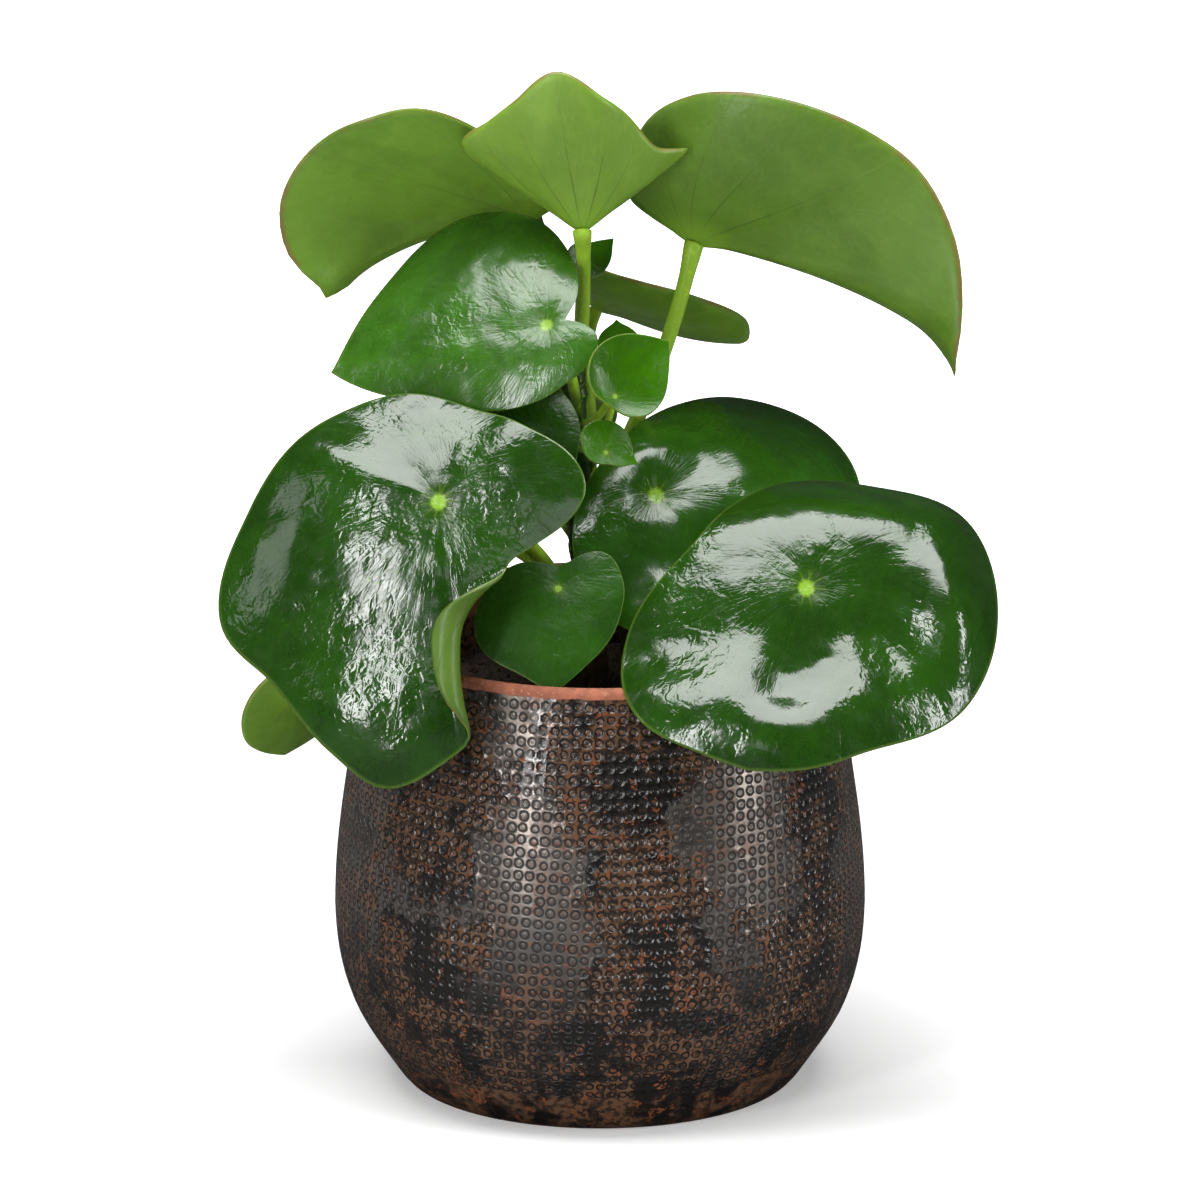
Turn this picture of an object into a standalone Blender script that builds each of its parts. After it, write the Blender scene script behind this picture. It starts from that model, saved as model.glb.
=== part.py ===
"""Potted peperomia: a glazed clay pot filled with soil, three branching stems and nineteen round leaves.

Built in metres with +Z up. The pot stands on z = 0 around the Z axis, and the plant's front faces -Y.
The sizes below are written in millimetres and degrees and are turned into metres by MM.
"""
import math

import bmesh
import bpy
import numpy as np
from mathutils import Vector

MM = 0.001
GAP = 0.3            # air left between neighbouring pieces
BLADE_THICK = 1.3    # thickness of a leaf blade

# Pot: outside profile from the foot to the lip as (height, radius)
POT_HEIGHT = 159
POT_PROFILE = ((0, 66.5), (2.5, 68.6), (7, 71.8), (12, 75.2), (18, 79.2), (25, 83.2), (34, 86.8),
               (45, 89.4), (58, 90.6), (72, 90.4), (90, 88.9), (110, 86.1), (132, 82.7), (156, 78.9))
POT_WALL = 5.4
POT_FLOOR = 9
POT_SIDES = 48
SOIL_EDGE = 130      # height of the soil at the pot's wall
SOIL_CROWN = 135     # height of the soil at the middle
SOIL_SIDES = 48

# Stems: (x, y, z, radius) from inside the soil to the top
STEM_SIDES = 12
STEM_FOOT = 118
STEMS = dict(
    stem_main=((-1, 8, 118, 5.2), (-1.6, 8, 128, 5.1), (-2.2, 8, 138, 5.0), (-3, 8, 150, 4.9),
               (-4.4, 7.6, 168, 4.7), (-6, 7, 187, 4.5), (-7.2, 5.6, 205, 4.3), (-8, 4, 222, 4.0),
               (-8.2, 3, 236, 3.6), (-8, 2.6, 245, 3.0)),
    stem_left=((-8, -16, 118, 4.4), (-8, -16.3, 130, 4.3), (-8, -16.8, 142, 4.1), (-8, -17.4, 154, 3.8),
               (-8, -18, 164, 3.3)),
    stem_right=((11, -12, 118, 4.6), (11, -12, 130, 4.5), (11, -12, 142, 4.3), (10.7, -12, 156, 3.9),
                (10, -12, 168, 3.3)),
)

# Petioles: leaf, stem, start on the stem, the two points that bend the stalk, radius at the stem and at
# the blade. A number instead of the second bending point is the length that the stalk runs square to the
# blade.
PETIOLE_SIDES = 7
PETIOLE_STEPS = 8
PETIOLES = (
    ("leaf_top_left", "stem_main", (-8, 4, 226), (-14, 10, 255), 22, 2.5, 2.1),
    ("leaf_top_centre", "stem_main", (-8, 3, 240), (-6, 5, 262), (-5, -1, 284), 2.6, 2.4),
    ("leaf_top_right", "stem_main", (-5, 7, 196), (11, 30, 214), (25, 4, 258), 2.7, 2.5),
    ("leaf_upper_left", "stem_main", (-8, 3, 224), (-6.5, -2, 246), 14, 2.0, 1.8),
    ("leaf_upper_back", "stem_main", (-5, 7, 198), (1, 24, 220), 18, 2.0, 1.7),
    ("leaf_large_left", "stem_left", (-8, -18, 160), (-18, -20, 201), (-38, -34, 204), 2.8, 2.4),
    ("leaf_large_right", "stem_right", (11, -12, 150), (32, -20, 151), (66, -45, 164), 2.8, 2.4),
    ("leaf_middle_right", "stem_right", (10, -12, 164), (10, -6, 180), 14, 2.4, 2.1),
    ("leaf_low_front", "stem_left", (-8, -17, 146), (-9, -38, 160), 14, 1.9, 1.6),
    ("leaf_inner_left", "stem_main", (-6, 7, 188), (-14, 2, 204), 10, 1.9, 1.6),
    ("leaf_young_centre", "stem_main", (-8, 3, 228), (2, -12, 234), 12, 1.5, 1.2),
    ("leaf_young_small", "stem_main", (-8, 3, 220), (-2, -14, 226), 8, 1.4, 1.1),
    ("leaf_sprout_top", "stem_main", (-8, 3, 240), (-6, 9, 262), 8, 1.3, 1.0),
    ("leaf_sprout_inner", "stem_main", (-7, 6, 206), (6, 10, 226), 8, 1.3, 1.0),
    ("leaf_low_left", "stem_main", (-2, 8, 142), (-50, 0, 206), (-90, -12, 168), 2.0, 1.6),
    ("leaf_back_left", "stem_main", (-6, 7, 184), (-18, 26, 198), 18, 2.2, 1.9),
    ("leaf_back_right", "stem_main", (-4, 8, 172), (14, 24, 188), 18, 2.3, 2.0),
    ("leaf_low_back", "stem_main", (-2, 8, 146), (12, 48, 184), 12, 2.0, 1.8),
    ("leaf_low_back_left", "stem_main", (-2, 8, 152), (-26, 40, 186), 12, 2.0, 1.8),
)

# Leaves: at = where the petiole meets the blade's upper face; face = (direction that the upper face looks
# to, where 0 is the front and 90 the right; degrees that it is raised); grid = points around and rings of
# the mesh; spokes = (direction in the blade, reach, slope at the petiole, slope at the margin);
# tip = (direction, extra reach, width in degrees, curl); dimple = (depth, radius) of the hollow over the
# petiole; level = radius of the level part around it; swells = (direction, distance, radius, height) of each
# low swell; fold = (x, y, growth above, growth below, radius): the blade rolls over beyond a bent line that
# comes nearest to the petiole at x, y.
LEAVES = [
    dict(name="leaf_top_left", at=(-24.5, 31, 293.3), face=(200, 52), tip=(183, 13, 6, -20), grid=(36, 5),
         spokes=((183, 65, 4, -36), (189, 80, 8, -18), (196, 86, 10, 0), (204, 86, 12, 12),
                 (215, 83, 13, 22), (228, 80, 13, 23), (242, 70, 14, 26), (258, 44, 12, 30),
                 (290, 16, 8, 20), (340, 13, 4, 20), (30, 18, 20, 34), (70, 32, 38, 50), (110, 46, 34, 48),
                 (145, 60, 20, 30), (168, 64, 8, -14))),
    dict(name="leaf_top_centre", at=(-6, -12, 301), face=(182, 60), tip=(350, 6, 9, -25), grid=(36, 5),
         spokes=((350, 38, 32, 42), (15, 33, 32, 46), (50, 27, 32, 52), (90, 25, 32, 54),
                 (130, 27, 32, 52), (165, 38, 32, 44), (188, 49, 34, 36), (210, 48, 36, 50),
                 (232, 51, 36, 58), (258, 58, 38, 66), (284, 49, 36, 62), (310, 41, 36, 64),
                 (332, 36, 34, 48))),
    dict(name="leaf_top_right", at=(32, 12, 290.1), face=(150, 56), tip=(356, 15, 7, -60), grid=(36, 5),
         spokes=((356, 92, 2, -27), (350, 91, 6, -10), (343, 89, 10, 14), (333, 84, 16, 37),
                 (320, 77, 20, 52), (305, 71, 24, 59), (288, 66, 27, 62), (270, 61, 28, 66),
                 (248, 54, 30, 68), (222, 46, 26, 66), (200, 36, 20, 50), (178, 28, 14, 30),
                 (145, 27, 16, 30), (100, 42, 18, 34), (60, 62, 14, 30), (25, 80, 8, 4))),
    dict(name="leaf_upper_left", at=(-18, -26, 271.2), face=(-20, 38), tip=(184, 10, 9, 10), dimple=(0.6, 5),
         grid=(30, 4),
         spokes=((345, 18, 4, -30), (12, 7, 4, -10), (45, 15, 4, -25), (75, 29, 4, -35), (102, 49, 4, -35),
                 (124, 61, 4, -35), (150, 65, 4, -30), (184, 68, 2, -18), (205, 49, 2, -24),
                 (235, 34, 2, -28), (280, 23, 2, -30), (310, 21, 4, -34))),
    dict(name="leaf_upper_back", at=(-1, 47, 258.1), face=(132, 63), tip=(188, 4, 9, 0), grid=(30, 4),
         spokes=((0, 53, -5, 23), (340, 54, -3, 36), (315, 46, 0, 38), (290, 38, 2, 36),
                 (265, 36, 4, 32), (230, 34, 12, 38), (200, 34, 20, 54), (180, 34, 26, 55),
                 (150, 34, 20, 40), (110, 34, 12, 27), (70, 38, 10, 29), (30, 48, -2, 26))),
    dict(name="leaf_large_left", at=(-54, -60, 219.2), face=(-10, 25), tip=(258, 2, 8, -30), grid=(48, 8),
         fold=(1.7, -55, 0.0006, 0.006, 4.7), dimple=(0.5, 4), level=4, swells=((243, 80, 14, 2.5),),
         spokes=((5, 50, 2, -6), (40, 39, 2, -10), (66, 36, -8, -26), (84, 38, -13, -30),
                 (112, 46, -14, -32), (134, 52, -10, -34), (154, 58, 2, -34), (180, 71, 2, -36),
                 (205, 89, 2, -34), (225, 85, 2, -28), (245, 93, 2, -26), (256, 99, 2, -26),
                 (262, 96, 2, -24), (270, 88, 2, -22), (277, 81, 0, -18), (283, 73, 0, -14),
                 (291, 55, 0, -12), (304, 39, 0, -8), (317, 32, 0, -8), (335, 36, 0, -8))),
    dict(name="leaf_large_right", at=(69, -66, 191), face=(15, 47), tip=(255, 2, 8, -30), grid=(36, 6),
         dimple=(0.8, 6), level=5,
         swells=((95, 44, 14, 4.5), (34, 58, 18, 7), (165, 46, 12, 3), (232, 20, 12, 2), (288, 20, 12, 2),
                 (236, 46, 12, 5), (268, 49, 11, 3.5), (298, 54, 12, 6)),
         spokes=((0, 71, 3, -38), (35, 74, 3, -40), (65, 61, -3, -38),
                 (95, 53, -8, -38), (125, 46, -14, -34), (155, 46, -18, -32), (190, 63, -16, -38),
                 (218, 73, -11, -35), (240, 70, -3, -38), (268, 67, 4, -36), (295, 62, 4, -38),
                 (330, 69, 2, -38))),
    dict(name="leaf_middle_right", at=(19, -14, 208.3), face=(15, 45), tip=(350, 7, 9, -10), level=4,
         grid=(30, 4),
         spokes=((350, 66, 4, -30), (15, 79, 2, -34), (35, 79, -3, -34), (58, 66, -5, -38), (78, 48, -5, -38),
                 (95, 35, -5, -34), (120, 25, -2, -30), (160, 23, 4, -24), (195, 29, 4, -30),
                 (215, 35, 4, -30), (245, 45, 4, -34), (270, 52, 4, -34), (300, 50, 4, -34),
                 (325, 56, 4, -32))),
    dict(name="leaf_low_front", at=(-14, -53, 187), face=(0, 33), tip=(267, 5, 9, 0), grid=(24, 4),
         dimple=(0.3, 4),
         spokes=((10, 22, 0, -8), (40, 20, 0, -5), (70, 10, 0, -3), (110, 9, 0, -3),
                 (150, 17, 0, -6), (185, 26, 0, -10), (215, 33, 0, -8), (245, 32, 0, -6),
                 (267, 32, 0, -8), (295, 27, 0, -12), (335, 23, 0, -14))),
    dict(name="leaf_inner_left", at=(-22.5, -16, 229.6), face=(-8, 31), tip=(250, 5, 9, -10),
         dimple=(0.4, 5), grid=(22, 3),
         spokes=((345, 16, 4, -20), (30, 17, 4, -24), (60, 19, 4, -26), (90, 22, 4, -28),
                 (135, 25, 4, -30), (180, 26, 4, -30), (225, 22, 4, -26), (250, 19, 4, -20),
                 (280, 18, 4, -26), (315, 18, 4, -24))),
    dict(name="leaf_young_centre", at=(5, -38, 249.8), face=(20, 25), tip=(48, 3, 9, -10), grid=(16, 3),
         dimple=(0.6, 7), spokes=((48, 23, 10, 25), (75, 22, 10, 30), (100, 20, 10, 30), (125, 17, 10, 30),
                 (150, 13, 10, 30), (180, 8, 10, 30), (215, 4, 10, 20), (245, 4, 10, 20), (275, 5, 10, 20),
                 (305, 9, 10, 30), (330, 13, 10, 30), (355, 16, 10, 28), (22, 19, 10, 26))),
    dict(name="leaf_young_small", at=(2, -38, 230.2), face=(10, 30), tip=(340, 3, 9, -10), grid=(16, 3),
         dimple=(0.4, 7), spokes=((340, 8.5, 6, 10), (20, 9, 8, 20), (55, 10, 8, 20), (100, 11, 8, 20),
                 (140, 11, 8, 20), (168, 9, 8, 20), (205, 6.5, 6, 10), (245, 4.5, 4, 6),
                 (290, 4.5, 4, 6))),
    dict(name="leaf_sprout_top", at=(-4, 5, 283.6), face=(20, 30), tip=(50, 3, 9, 0), grid=(16, 3),
         dimple=(0.3, 7), spokes=((50, 10, 6, 20), (90, 8, 6, 20), (140, 9, 6, 20), (185, 7, 6, 10),
                 (270, 4, 4, 6), (350, 6, 6, 12))),
    dict(name="leaf_sprout_inner", at=(6.5, 8, 253), face=(0, 35), tip=(95, 2, 9, 0), grid=(16, 3),
         dimple=(0.3, 7), spokes=((95, 9, 6, 10), (45, 8.5, 6, 12), (0, 7, 6, 10), (300, 5, 4, 6),
                 (240, 5, 4, 6), (180, 7, 6, 10), (140, 8.5, 6, 12))),
    dict(name="leaf_low_left", at=(-101, 2, 136), face=(215, 25), tip=(95, 3, 9, 0), grid=(22, 3),
         spokes=((0, 16, 2, 10), (45, 30, 4, 14), (70, 38, 6, 20), (95, 38, 6, 20), (120, 33, 6, 20),
                 (150, 25, 6, 20), (180, 19, 6, 20), (215, 14, 6, 20), (250, 12, 4, 12), (285, 11, 4, 14),
                 (330, 12, 4, 12))),
    dict(name="leaf_back_left", at=(-34, 48, 222), face=(196, 48), tip=(92, 7, 9, -15), grid=(22, 3),
         spokes=((0, 40, 4, -30), (30, 44, 4, -34), (60, 46, 4, -30), (92, 46, 4, -22), (125, 44, 4, -32),
                 (160, 38, 4, -32), (200, 30, 4, -30), (240, 20, 4, -26), (270, 14, 4, -20),
                 (300, 22, 4, -26), (335, 34, 4, -30))),
    dict(name="leaf_back_right", at=(50, 52, 207), face=(158, 46), tip=(70, 7, 9, -15), grid=(22, 3),
         spokes=((0, 38, 4, -32), (35, 44, 4, -32), (70, 48, 4, -24), (105, 46, 4, -32), (140, 40, 4, -34),
                 (180, 34, 4, -30), (215, 26, 4, -28), (250, 16, 4, -20), (285, 20, 4, -24),
                 (325, 30, 4, -30))),
    dict(name="leaf_low_back", at=(26, 90, 163), face=(172, 42), tip=(84, 6, 9, -15), grid=(22, 3),
         spokes=((0, 32, 4, -30), (45, 36, 4, -32), (84, 40, 4, -22), (125, 36, 4, -32), (165, 30, 4, -30),
                 (210, 24, 4, -26), (255, 13, 4, -18), (290, 16, 4, -20), (330, 26, 4, -28))),
    dict(name="leaf_low_back_left", at=(-50, 72, 176), face=(206, 44), tip=(110, 6, 9, -15), grid=(22, 3),
         spokes=((0, 27, 4, -28), (40, 34, 4, -32), (75, 38, 4, -30), (110, 40, 4, -20), (145, 38, 4, -32),
                 (180, 32, 4, -30), (220, 24, 4, -26), (265, 13, 4, -18), (310, 18, 4, -24))),
]

# Colours: name -> (red, green, blue), roughness
MATERIALS = dict(
    glazed_clay=((0.075, 0.045, 0.032), 0.32),
    bare_clay=((0.50, 0.155, 0.062), 0.85),
    soil=((0.045, 0.030, 0.020), 1.0),
    leaf=((0.045, 0.150, 0.030), 0.28),
    young_leaf=((0.110, 0.300, 0.035), 0.32),
    stem=((0.165, 0.290, 0.060), 0.45),
)
YOUNG = ("leaf_top_centre", "leaf_young_centre", "leaf_young_small", "leaf_sprout_top", "leaf_sprout_inner")


def clear_scene():
    for item in list(bpy.data.objects):
        bpy.data.objects.remove(item, do_unlink=True)


def material(name):
    colour, rough = MATERIALS[name]
    made = bpy.data.materials.get(name) or bpy.data.materials.new(name)
    made.use_nodes = True
    shader = made.node_tree.nodes["Principled BSDF"]
    shader.inputs["Base Color"].default_value = (*colour, 1.0)
    shader.inputs["Roughness"].default_value = rough
    shader.inputs["Metallic"].default_value = 0.0
    return made


def add_object(name, bm, slot, smooth=True):
    bmesh.ops.recalc_face_normals(bm, faces=bm.faces[:])
    mesh = bpy.data.meshes.new(name)
    for face in bm.faces:
        face.smooth = smooth
    bm.to_mesh(mesh)
    bm.free()
    mesh.materials.append(material(slot))
    item = bpy.data.objects.new(name, mesh)
    bpy.context.scene.collection.objects.link(item)
    return item


def spun(profile, sides):
    """Closed body turned around the Z axis from (height, radius) pairs in mm, first and last on the axis."""
    bm = bmesh.new()
    points = [bm.verts.new((radius * MM, 0.0, height * MM)) for height, radius in profile]
    edges = [bm.edges.new(pair) for pair in zip(points, points[1:])]
    bmesh.ops.spin(bm, geom=points + edges, cent=(0, 0, 0), axis=(0, 0, 1), angle=2 * math.pi, steps=sides,
                   use_merge=True)
    bmesh.ops.remove_doubles(bm, verts=bm.verts[:], dist=0.00001)
    return bm


def pot_radius(height):
    heights = [h for h, r in POT_PROFILE]
    radii = [r for h, r in POT_PROFILE]
    return float(np.interp(height, heights, radii))


def pot_inside(height):
    return pot_radius(height) - POT_WALL


def make_pot():
    rim = pot_radius(POT_HEIGHT)
    lip = ((POT_HEIGHT - 1.1, rim - 0.5), (POT_HEIGHT - 0.2, rim - 1.5), (POT_HEIGHT, rim - 2.6),
           (POT_HEIGHT - 0.3, rim - 4.0), (POT_HEIGHT - 1.5, rim - 5.0))
    inside = [(h, pot_inside(h)) for h in (150, 128, 100, 72, 52, 34, 25, 18)]
    floor = ((12.5, pot_inside(14)), (10, pot_inside(12) - 3), (POT_FLOOR, pot_inside(12) - 9),
             (POT_FLOOR, 0))
    profile = ((0, 0),) + POT_PROFILE + lip + tuple(inside) + floor
    return add_object("pot", spun(profile, POT_SIDES), "glazed_clay")


def make_soil(stems):
    """Soil that fills the pot up to the wall, with a plain hole around each stem."""
    side = [(h, pot_inside(h) - GAP - 0.1) for h in (18, 25, 34, 52, 72, 100, 128)]
    bottom = ((POT_FLOOR + GAP, 0), (POT_FLOOR + GAP, pot_inside(12) - 9.6), (10.6, pot_inside(12) - 3.9),
              (13, pot_inside(14) - 0.7))
    edge = pot_inside(SOIL_EDGE)
    top = [(SOIL_EDGE, edge - 1.8), (SOIL_EDGE + 1.4, edge - 9), (SOIL_EDGE + 1.2, edge - 22),
           (SOIL_EDGE + 3.4, edge - 38), (SOIL_CROWN, 26), (SOIL_CROWN - 0.6, 12), (SOIL_CROWN, 0)]
    profile = tuple(bottom) + tuple(side) + tuple(top)
    soil = add_object("soil", spun(profile, SOIL_SIDES), "soil", smooth=False)
    for number, points in enumerate(stems):
        hole = [(x, y, z - GAP if n == 0 else z, r + GAP + 0.1) for n, (x, y, z, r) in enumerate(points)]
        cutter = add_object(f"soil_hole_{number}", tube(hole, STEM_SIDES), "soil")
        cutter.hide_render = True
        cutter.display_type = "WIRE"
        cut = soil.modifiers.new(f"hole_{number}", "BOOLEAN")
        cut.operation = "DIFFERENCE"
        cut.solver = "EXACT"
        cut.object = cutter
    return soil


def ring_axes(direction, last=None):
    """Two axes square to a direction; with last they stay as close as they can to the ones before."""
    side = last if last is not None else Vector((1, 0, 0))
    side = (side - direction * side.dot(direction)).normalized()
    return side, direction.cross(side)


def tube(points, sides, end_normal=None):
    """Closed round tube through (x, y, z, radius) points in mm. The last ring lies square to end_normal."""
    bm = bmesh.new()
    centres = [Vector(p[:3]) for p in points]
    rings, side = [], None
    for n, centre in enumerate(centres):
        ahead = centres[min(n + 1, len(centres) - 1)] - centres[max(n - 1, 0)]
        direction = ahead.normalized()
        if n == 0 and abs(direction.z) > 0.9:
            direction = Vector((0, 0, 1))
        if n == len(centres) - 1 and end_normal is not None:
            direction = end_normal
        side, up = ring_axes(direction, side)
        ring = []
        for k in range(sides):
            turn = 2 * math.pi * k / sides
            away = side * math.cos(turn) + up * math.sin(turn)
            ring.append(bm.verts.new((centre + away * points[n][3]) * MM))
        rings.append(ring)
    for low, high in zip(rings, rings[1:]):
        for k in range(sides):
            m = (k + 1) % sides
            bm.faces.new((low[k], low[m], high[m], high[k]))
    bm.faces.new(rings[0][::-1])
    bm.faces.new(rings[-1])
    return bm


def face_axes(facing, raised):
    """Right, up and outward directions of a blade whose upper face looks to facing, raised above level."""
    turn, lift = math.radians(facing), math.radians(raised)
    out = np.array([math.sin(turn) * math.cos(lift), -math.cos(turn) * math.cos(lift), math.sin(lift)])
    right = np.array([1.0, 0.0, 0.0]) - out[0] * out
    right /= np.linalg.norm(right)
    return right, np.cross(out, right), out


def round_curve(knots, values, at):
    """Smooth closed curve over 360 degrees through values at knots, read at the directions in at."""
    order = np.argsort(knots)
    k, v = np.array(knots, float)[order], np.array(values, float)[order]
    kk = np.concatenate([k[-2:] - 360, k, k[:2] + 360])
    vv = np.concatenate([v[-2:], v, v[:2]])
    slope = (vv[2:] - vv[:-2]) / (kk[2:] - kk[:-2])
    x = (at - k[0]) % 360 + k[0]
    i = np.clip(np.searchsorted(kk, x, side="right") - 1, 1, len(kk) - 3)
    h = kk[i + 1] - kk[i]
    t = (x - kk[i]) / h
    return ((2 * t**3 - 3 * t**2 + 1) * vv[i] + (t**3 - 2 * t**2 + t) * h * slope[i - 1]
            + (-2 * t**3 + 3 * t**2) * vv[i + 1] + (t**3 - t**2) * h * slope[i])


def blade_points(leaf, fine=8):
    """Grid of points of the upper face: each spoke is walked outward along its slope, and the first point of
    every row is the middle. A leaf with a level part has one more, small ring around it."""
    around, rings = leaf["grid"]
    right, up, out = face_axes(*leaf["face"])
    tip, tip_reach, tip_width, tip_curl = leaf["tip"]
    turn = tip + np.arange(around) * 360.0 / around
    knots = [s[0] for s in leaf["spokes"]]
    reach, root, edge = (round_curve(knots, [s[n] for s in leaf["spokes"]], turn) for n in (1, 2, 3))
    off = np.abs((turn - tip + 180) % 360 - 180)
    reach = reach + tip_reach * np.exp(-off / tip_width)
    curl = tip_curl * np.exp(-off / tip_width)
    steps = rings * fine
    s = (np.arange(steps) + 0.5) / steps
    hook = np.clip((s - 0.78) / 0.22, 0, 1) ** 1.5
    level = 1 - np.exp(-(s * reach[:, None] / leaf.get("level", 0.1)) ** 2)
    slope = root[:, None] * level + (edge - root)[:, None] * s ** 1.6 + curl[:, None] * hook
    slope = np.radians(slope)
    zero = np.zeros((around, 1))
    kept = [0] + [2] * ("level" in leaf) + list(range(fine, steps + 1, fine))
    stride = reach[:, None] / steps
    run = np.concatenate([zero, np.cumsum(np.cos(slope), axis=1)], axis=1)[:, kept] * stride
    rise = np.concatenate([zero, np.cumsum(np.sin(slope), axis=1)], axis=1)[:, kept] * stride
    depth, spread = leaf.get("dimple", (1.5, 7))
    rise = rise + depth * (1 - np.exp(-(run / spread) ** 2))
    a = np.radians(turn)[:, None]
    for place, distance, width, height in leaf.get("swells", ()):
        b = math.radians(place)
        away = np.hypot(run * np.cos(a) - distance * math.cos(b), run * np.sin(a) - distance * math.sin(b))
        rise = rise + height * (np.exp(-(away / width) ** 2) - math.exp(-(distance / width) ** 2))
    x, y = run * np.cos(a), run * np.sin(a)
    if "fold" in leaf:
        near, middle, above, below, bend = leaf["fold"]
        line = near + above * np.maximum(y - middle, 0) ** 3 + below * np.maximum(middle - y, 0) ** 2
        past = np.maximum(x - line, 0) / bend
        x = x - past * bend + bend * np.sin(past)
        rise = rise + bend * (1 - np.cos(past))
    return np.array(leaf["at"]) + x[..., None] * right + y[..., None] * up + rise[..., None] * out


def make_leaf(leaf):
    grid = blade_points(leaf) * MM
    around, rings = len(grid), len(grid[0]) - 1
    bm = bmesh.new()
    centre = bm.verts.new(grid[0, 0])
    ring = [[bm.verts.new(grid[k, n]) for k in range(around)] for n in range(1, rings + 1)]
    for k in range(around):
        m = (k + 1) % around
        bm.faces.new((centre, ring[0][k], ring[0][m]))
        for low, high in zip(ring, ring[1:]):
            bm.faces.new((low[k], high[k], high[m]))
            bm.faces.new((low[k], high[m], low[m]))
    item = add_object(leaf["name"], bm, "young_leaf" if leaf["name"] in YOUNG else "leaf")
    up = Vector(face_axes(*leaf["face"])[2])
    if item.data.polygons[0].normal.dot(up) < 0:
        item.data.flip_normals()
    thick = item.modifiers.new("thickness", "SOLIDIFY")
    thick.thickness = BLADE_THICK * MM
    thick.offset = -1.0
    return item


def petiole_points(spec, leaves):
    leaf, _stem, start, bend, last, r0, r1 = spec
    out = Vector(face_axes(*leaves[leaf]["face"])[2])
    end = Vector(leaves[leaf]["at"]) - out * (BLADE_THICK + GAP)
    start, bend = Vector(start), Vector(bend)
    last = Vector(last) if isinstance(last, tuple) else end - out * last
    points = []
    for n in range(PETIOLE_STEPS + 1):
        t = n / PETIOLE_STEPS
        p = start * (1 - t) ** 3 + bend * 3 * (1 - t) ** 2 * t + last * 3 * (1 - t) * t * t + end * t ** 3
        points.append((*p, r0 + (r1 - r0) * t))
    return points, out


def make_stem(name, leaves):
    """Stem with its petioles joined into one body."""
    stem = add_object(name, tube(STEMS[name], STEM_SIDES), "stem")
    made = []
    for number, spec in enumerate(p for p in PETIOLES if p[1] == name):
        points, out = petiole_points(spec, leaves)
        arm = add_object(f"{name}_petiole_{number}", tube(points, PETIOLE_SIDES, out), "stem")
        made.append(arm)
        join = stem.modifiers.new(f"petiole_{number}", "BOOLEAN")
        join.operation = "UNION"
        join.solver = "EXACT"
        join.object = arm
    finished = bpy.data.meshes.new_from_object(stem.evaluated_get(bpy.context.evaluated_depsgraph_get()))
    stem.modifiers.clear()
    stem.data = finished
    for arm in made:
        bpy.data.objects.remove(arm, do_unlink=True)
    return stem


def main():
    clear_scene()
    leaves = {leaf["name"]: leaf for leaf in LEAVES}
    make_pot()
    make_soil([points for points in STEMS.values()])
    for name in STEMS:
        make_stem(name, leaves)
    for leaf in LEAVES:
        make_leaf(leaf)


main()
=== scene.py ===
"""Potted peperomia as an add-on: fine leaves, stems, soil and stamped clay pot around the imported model.

Sizes of leaves, stems and the pot's profile are in millimetres and degrees; MM turns them into metres.
"""
import math
import random

import bmesh
import bpy
import numpy as np
from bpy.props import FloatProperty, FloatVectorProperty, IntProperty, PointerProperty
from mathutils import Matrix, Vector


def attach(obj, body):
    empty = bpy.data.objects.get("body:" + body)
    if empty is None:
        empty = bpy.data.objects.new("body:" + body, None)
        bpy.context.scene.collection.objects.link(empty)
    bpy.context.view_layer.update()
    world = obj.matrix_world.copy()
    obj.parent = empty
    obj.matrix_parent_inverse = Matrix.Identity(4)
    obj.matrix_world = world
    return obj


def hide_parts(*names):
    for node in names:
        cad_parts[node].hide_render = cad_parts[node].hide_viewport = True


bl_info = {
    "name": "Potted Peperomia",
    "version": (1, 0, 0),
    "blender": (4, 5, 0),
    "location": "View3D > Sidebar > Peperomia",
    "description": "Builds the leaves, stems, soil and stamped pot of a potted peperomia",
    "category": "Add Mesh",
}

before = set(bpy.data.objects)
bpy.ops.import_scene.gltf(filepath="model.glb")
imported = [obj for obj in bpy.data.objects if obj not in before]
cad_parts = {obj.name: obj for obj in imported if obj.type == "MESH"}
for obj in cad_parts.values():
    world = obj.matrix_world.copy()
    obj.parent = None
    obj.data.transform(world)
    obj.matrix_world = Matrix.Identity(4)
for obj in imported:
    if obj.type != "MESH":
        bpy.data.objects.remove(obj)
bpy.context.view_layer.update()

MM = 0.001
BLADE_THICK = 1.3
THIN_FROM = 0.955                # share of the reach where the blade starts to get thinner
CURL_FROM = 0.78                 # and where its tip starts to curl
PETIOLE_GAP = 0.3                # below a blade's lower face, where the petioles of the model end
PETIOLE_REACH = 0.9              # from there to the end of the fine petiole, just inside the blade
POT_WALL = 5.4                   # thickness of the clay
LIP_HEIGHT = 156.2               # middle of the rounded lip
STAMP_LOW, STAMP_HIGH = 14.5, 154.8
SWAY = 0.00045                   # how much the rows of stamps wave, in metres
JITTER = 0.00026                 # how far a stamp may lie beside its place, in metres
TWIST = 0.10                     # lean of the columns of stamps, radians from the lowest row to the highest
SMOOTH_COLUMNS = 7               # columns of smooth glaze around the pot
COLUMN_TURN = 0.31               # where those columns are, radians
GLAZE_END = 0.15665              # height where the glaze gives way to bare clay, in metres
SOIL_EDGE, SOIL_RISE = 130, 5    # height of the soil at the wall, and how much higher its middle is
SOIL_GAP = 0.4                   # air between the soil and the wall

# Pot: outside profile from the foot to the lip as (height, radius)
POT_PROFILE = ((0, 66.5), (2.5, 68.6), (7, 71.8), (12, 75.2), (18, 79.2), (25, 83.2), (34, 86.8), (45, 89.4),
               (58, 90.6), (72, 90.4), (90, 88.9), (110, 86.1), (132, 82.7), (156, 78.9))

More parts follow.
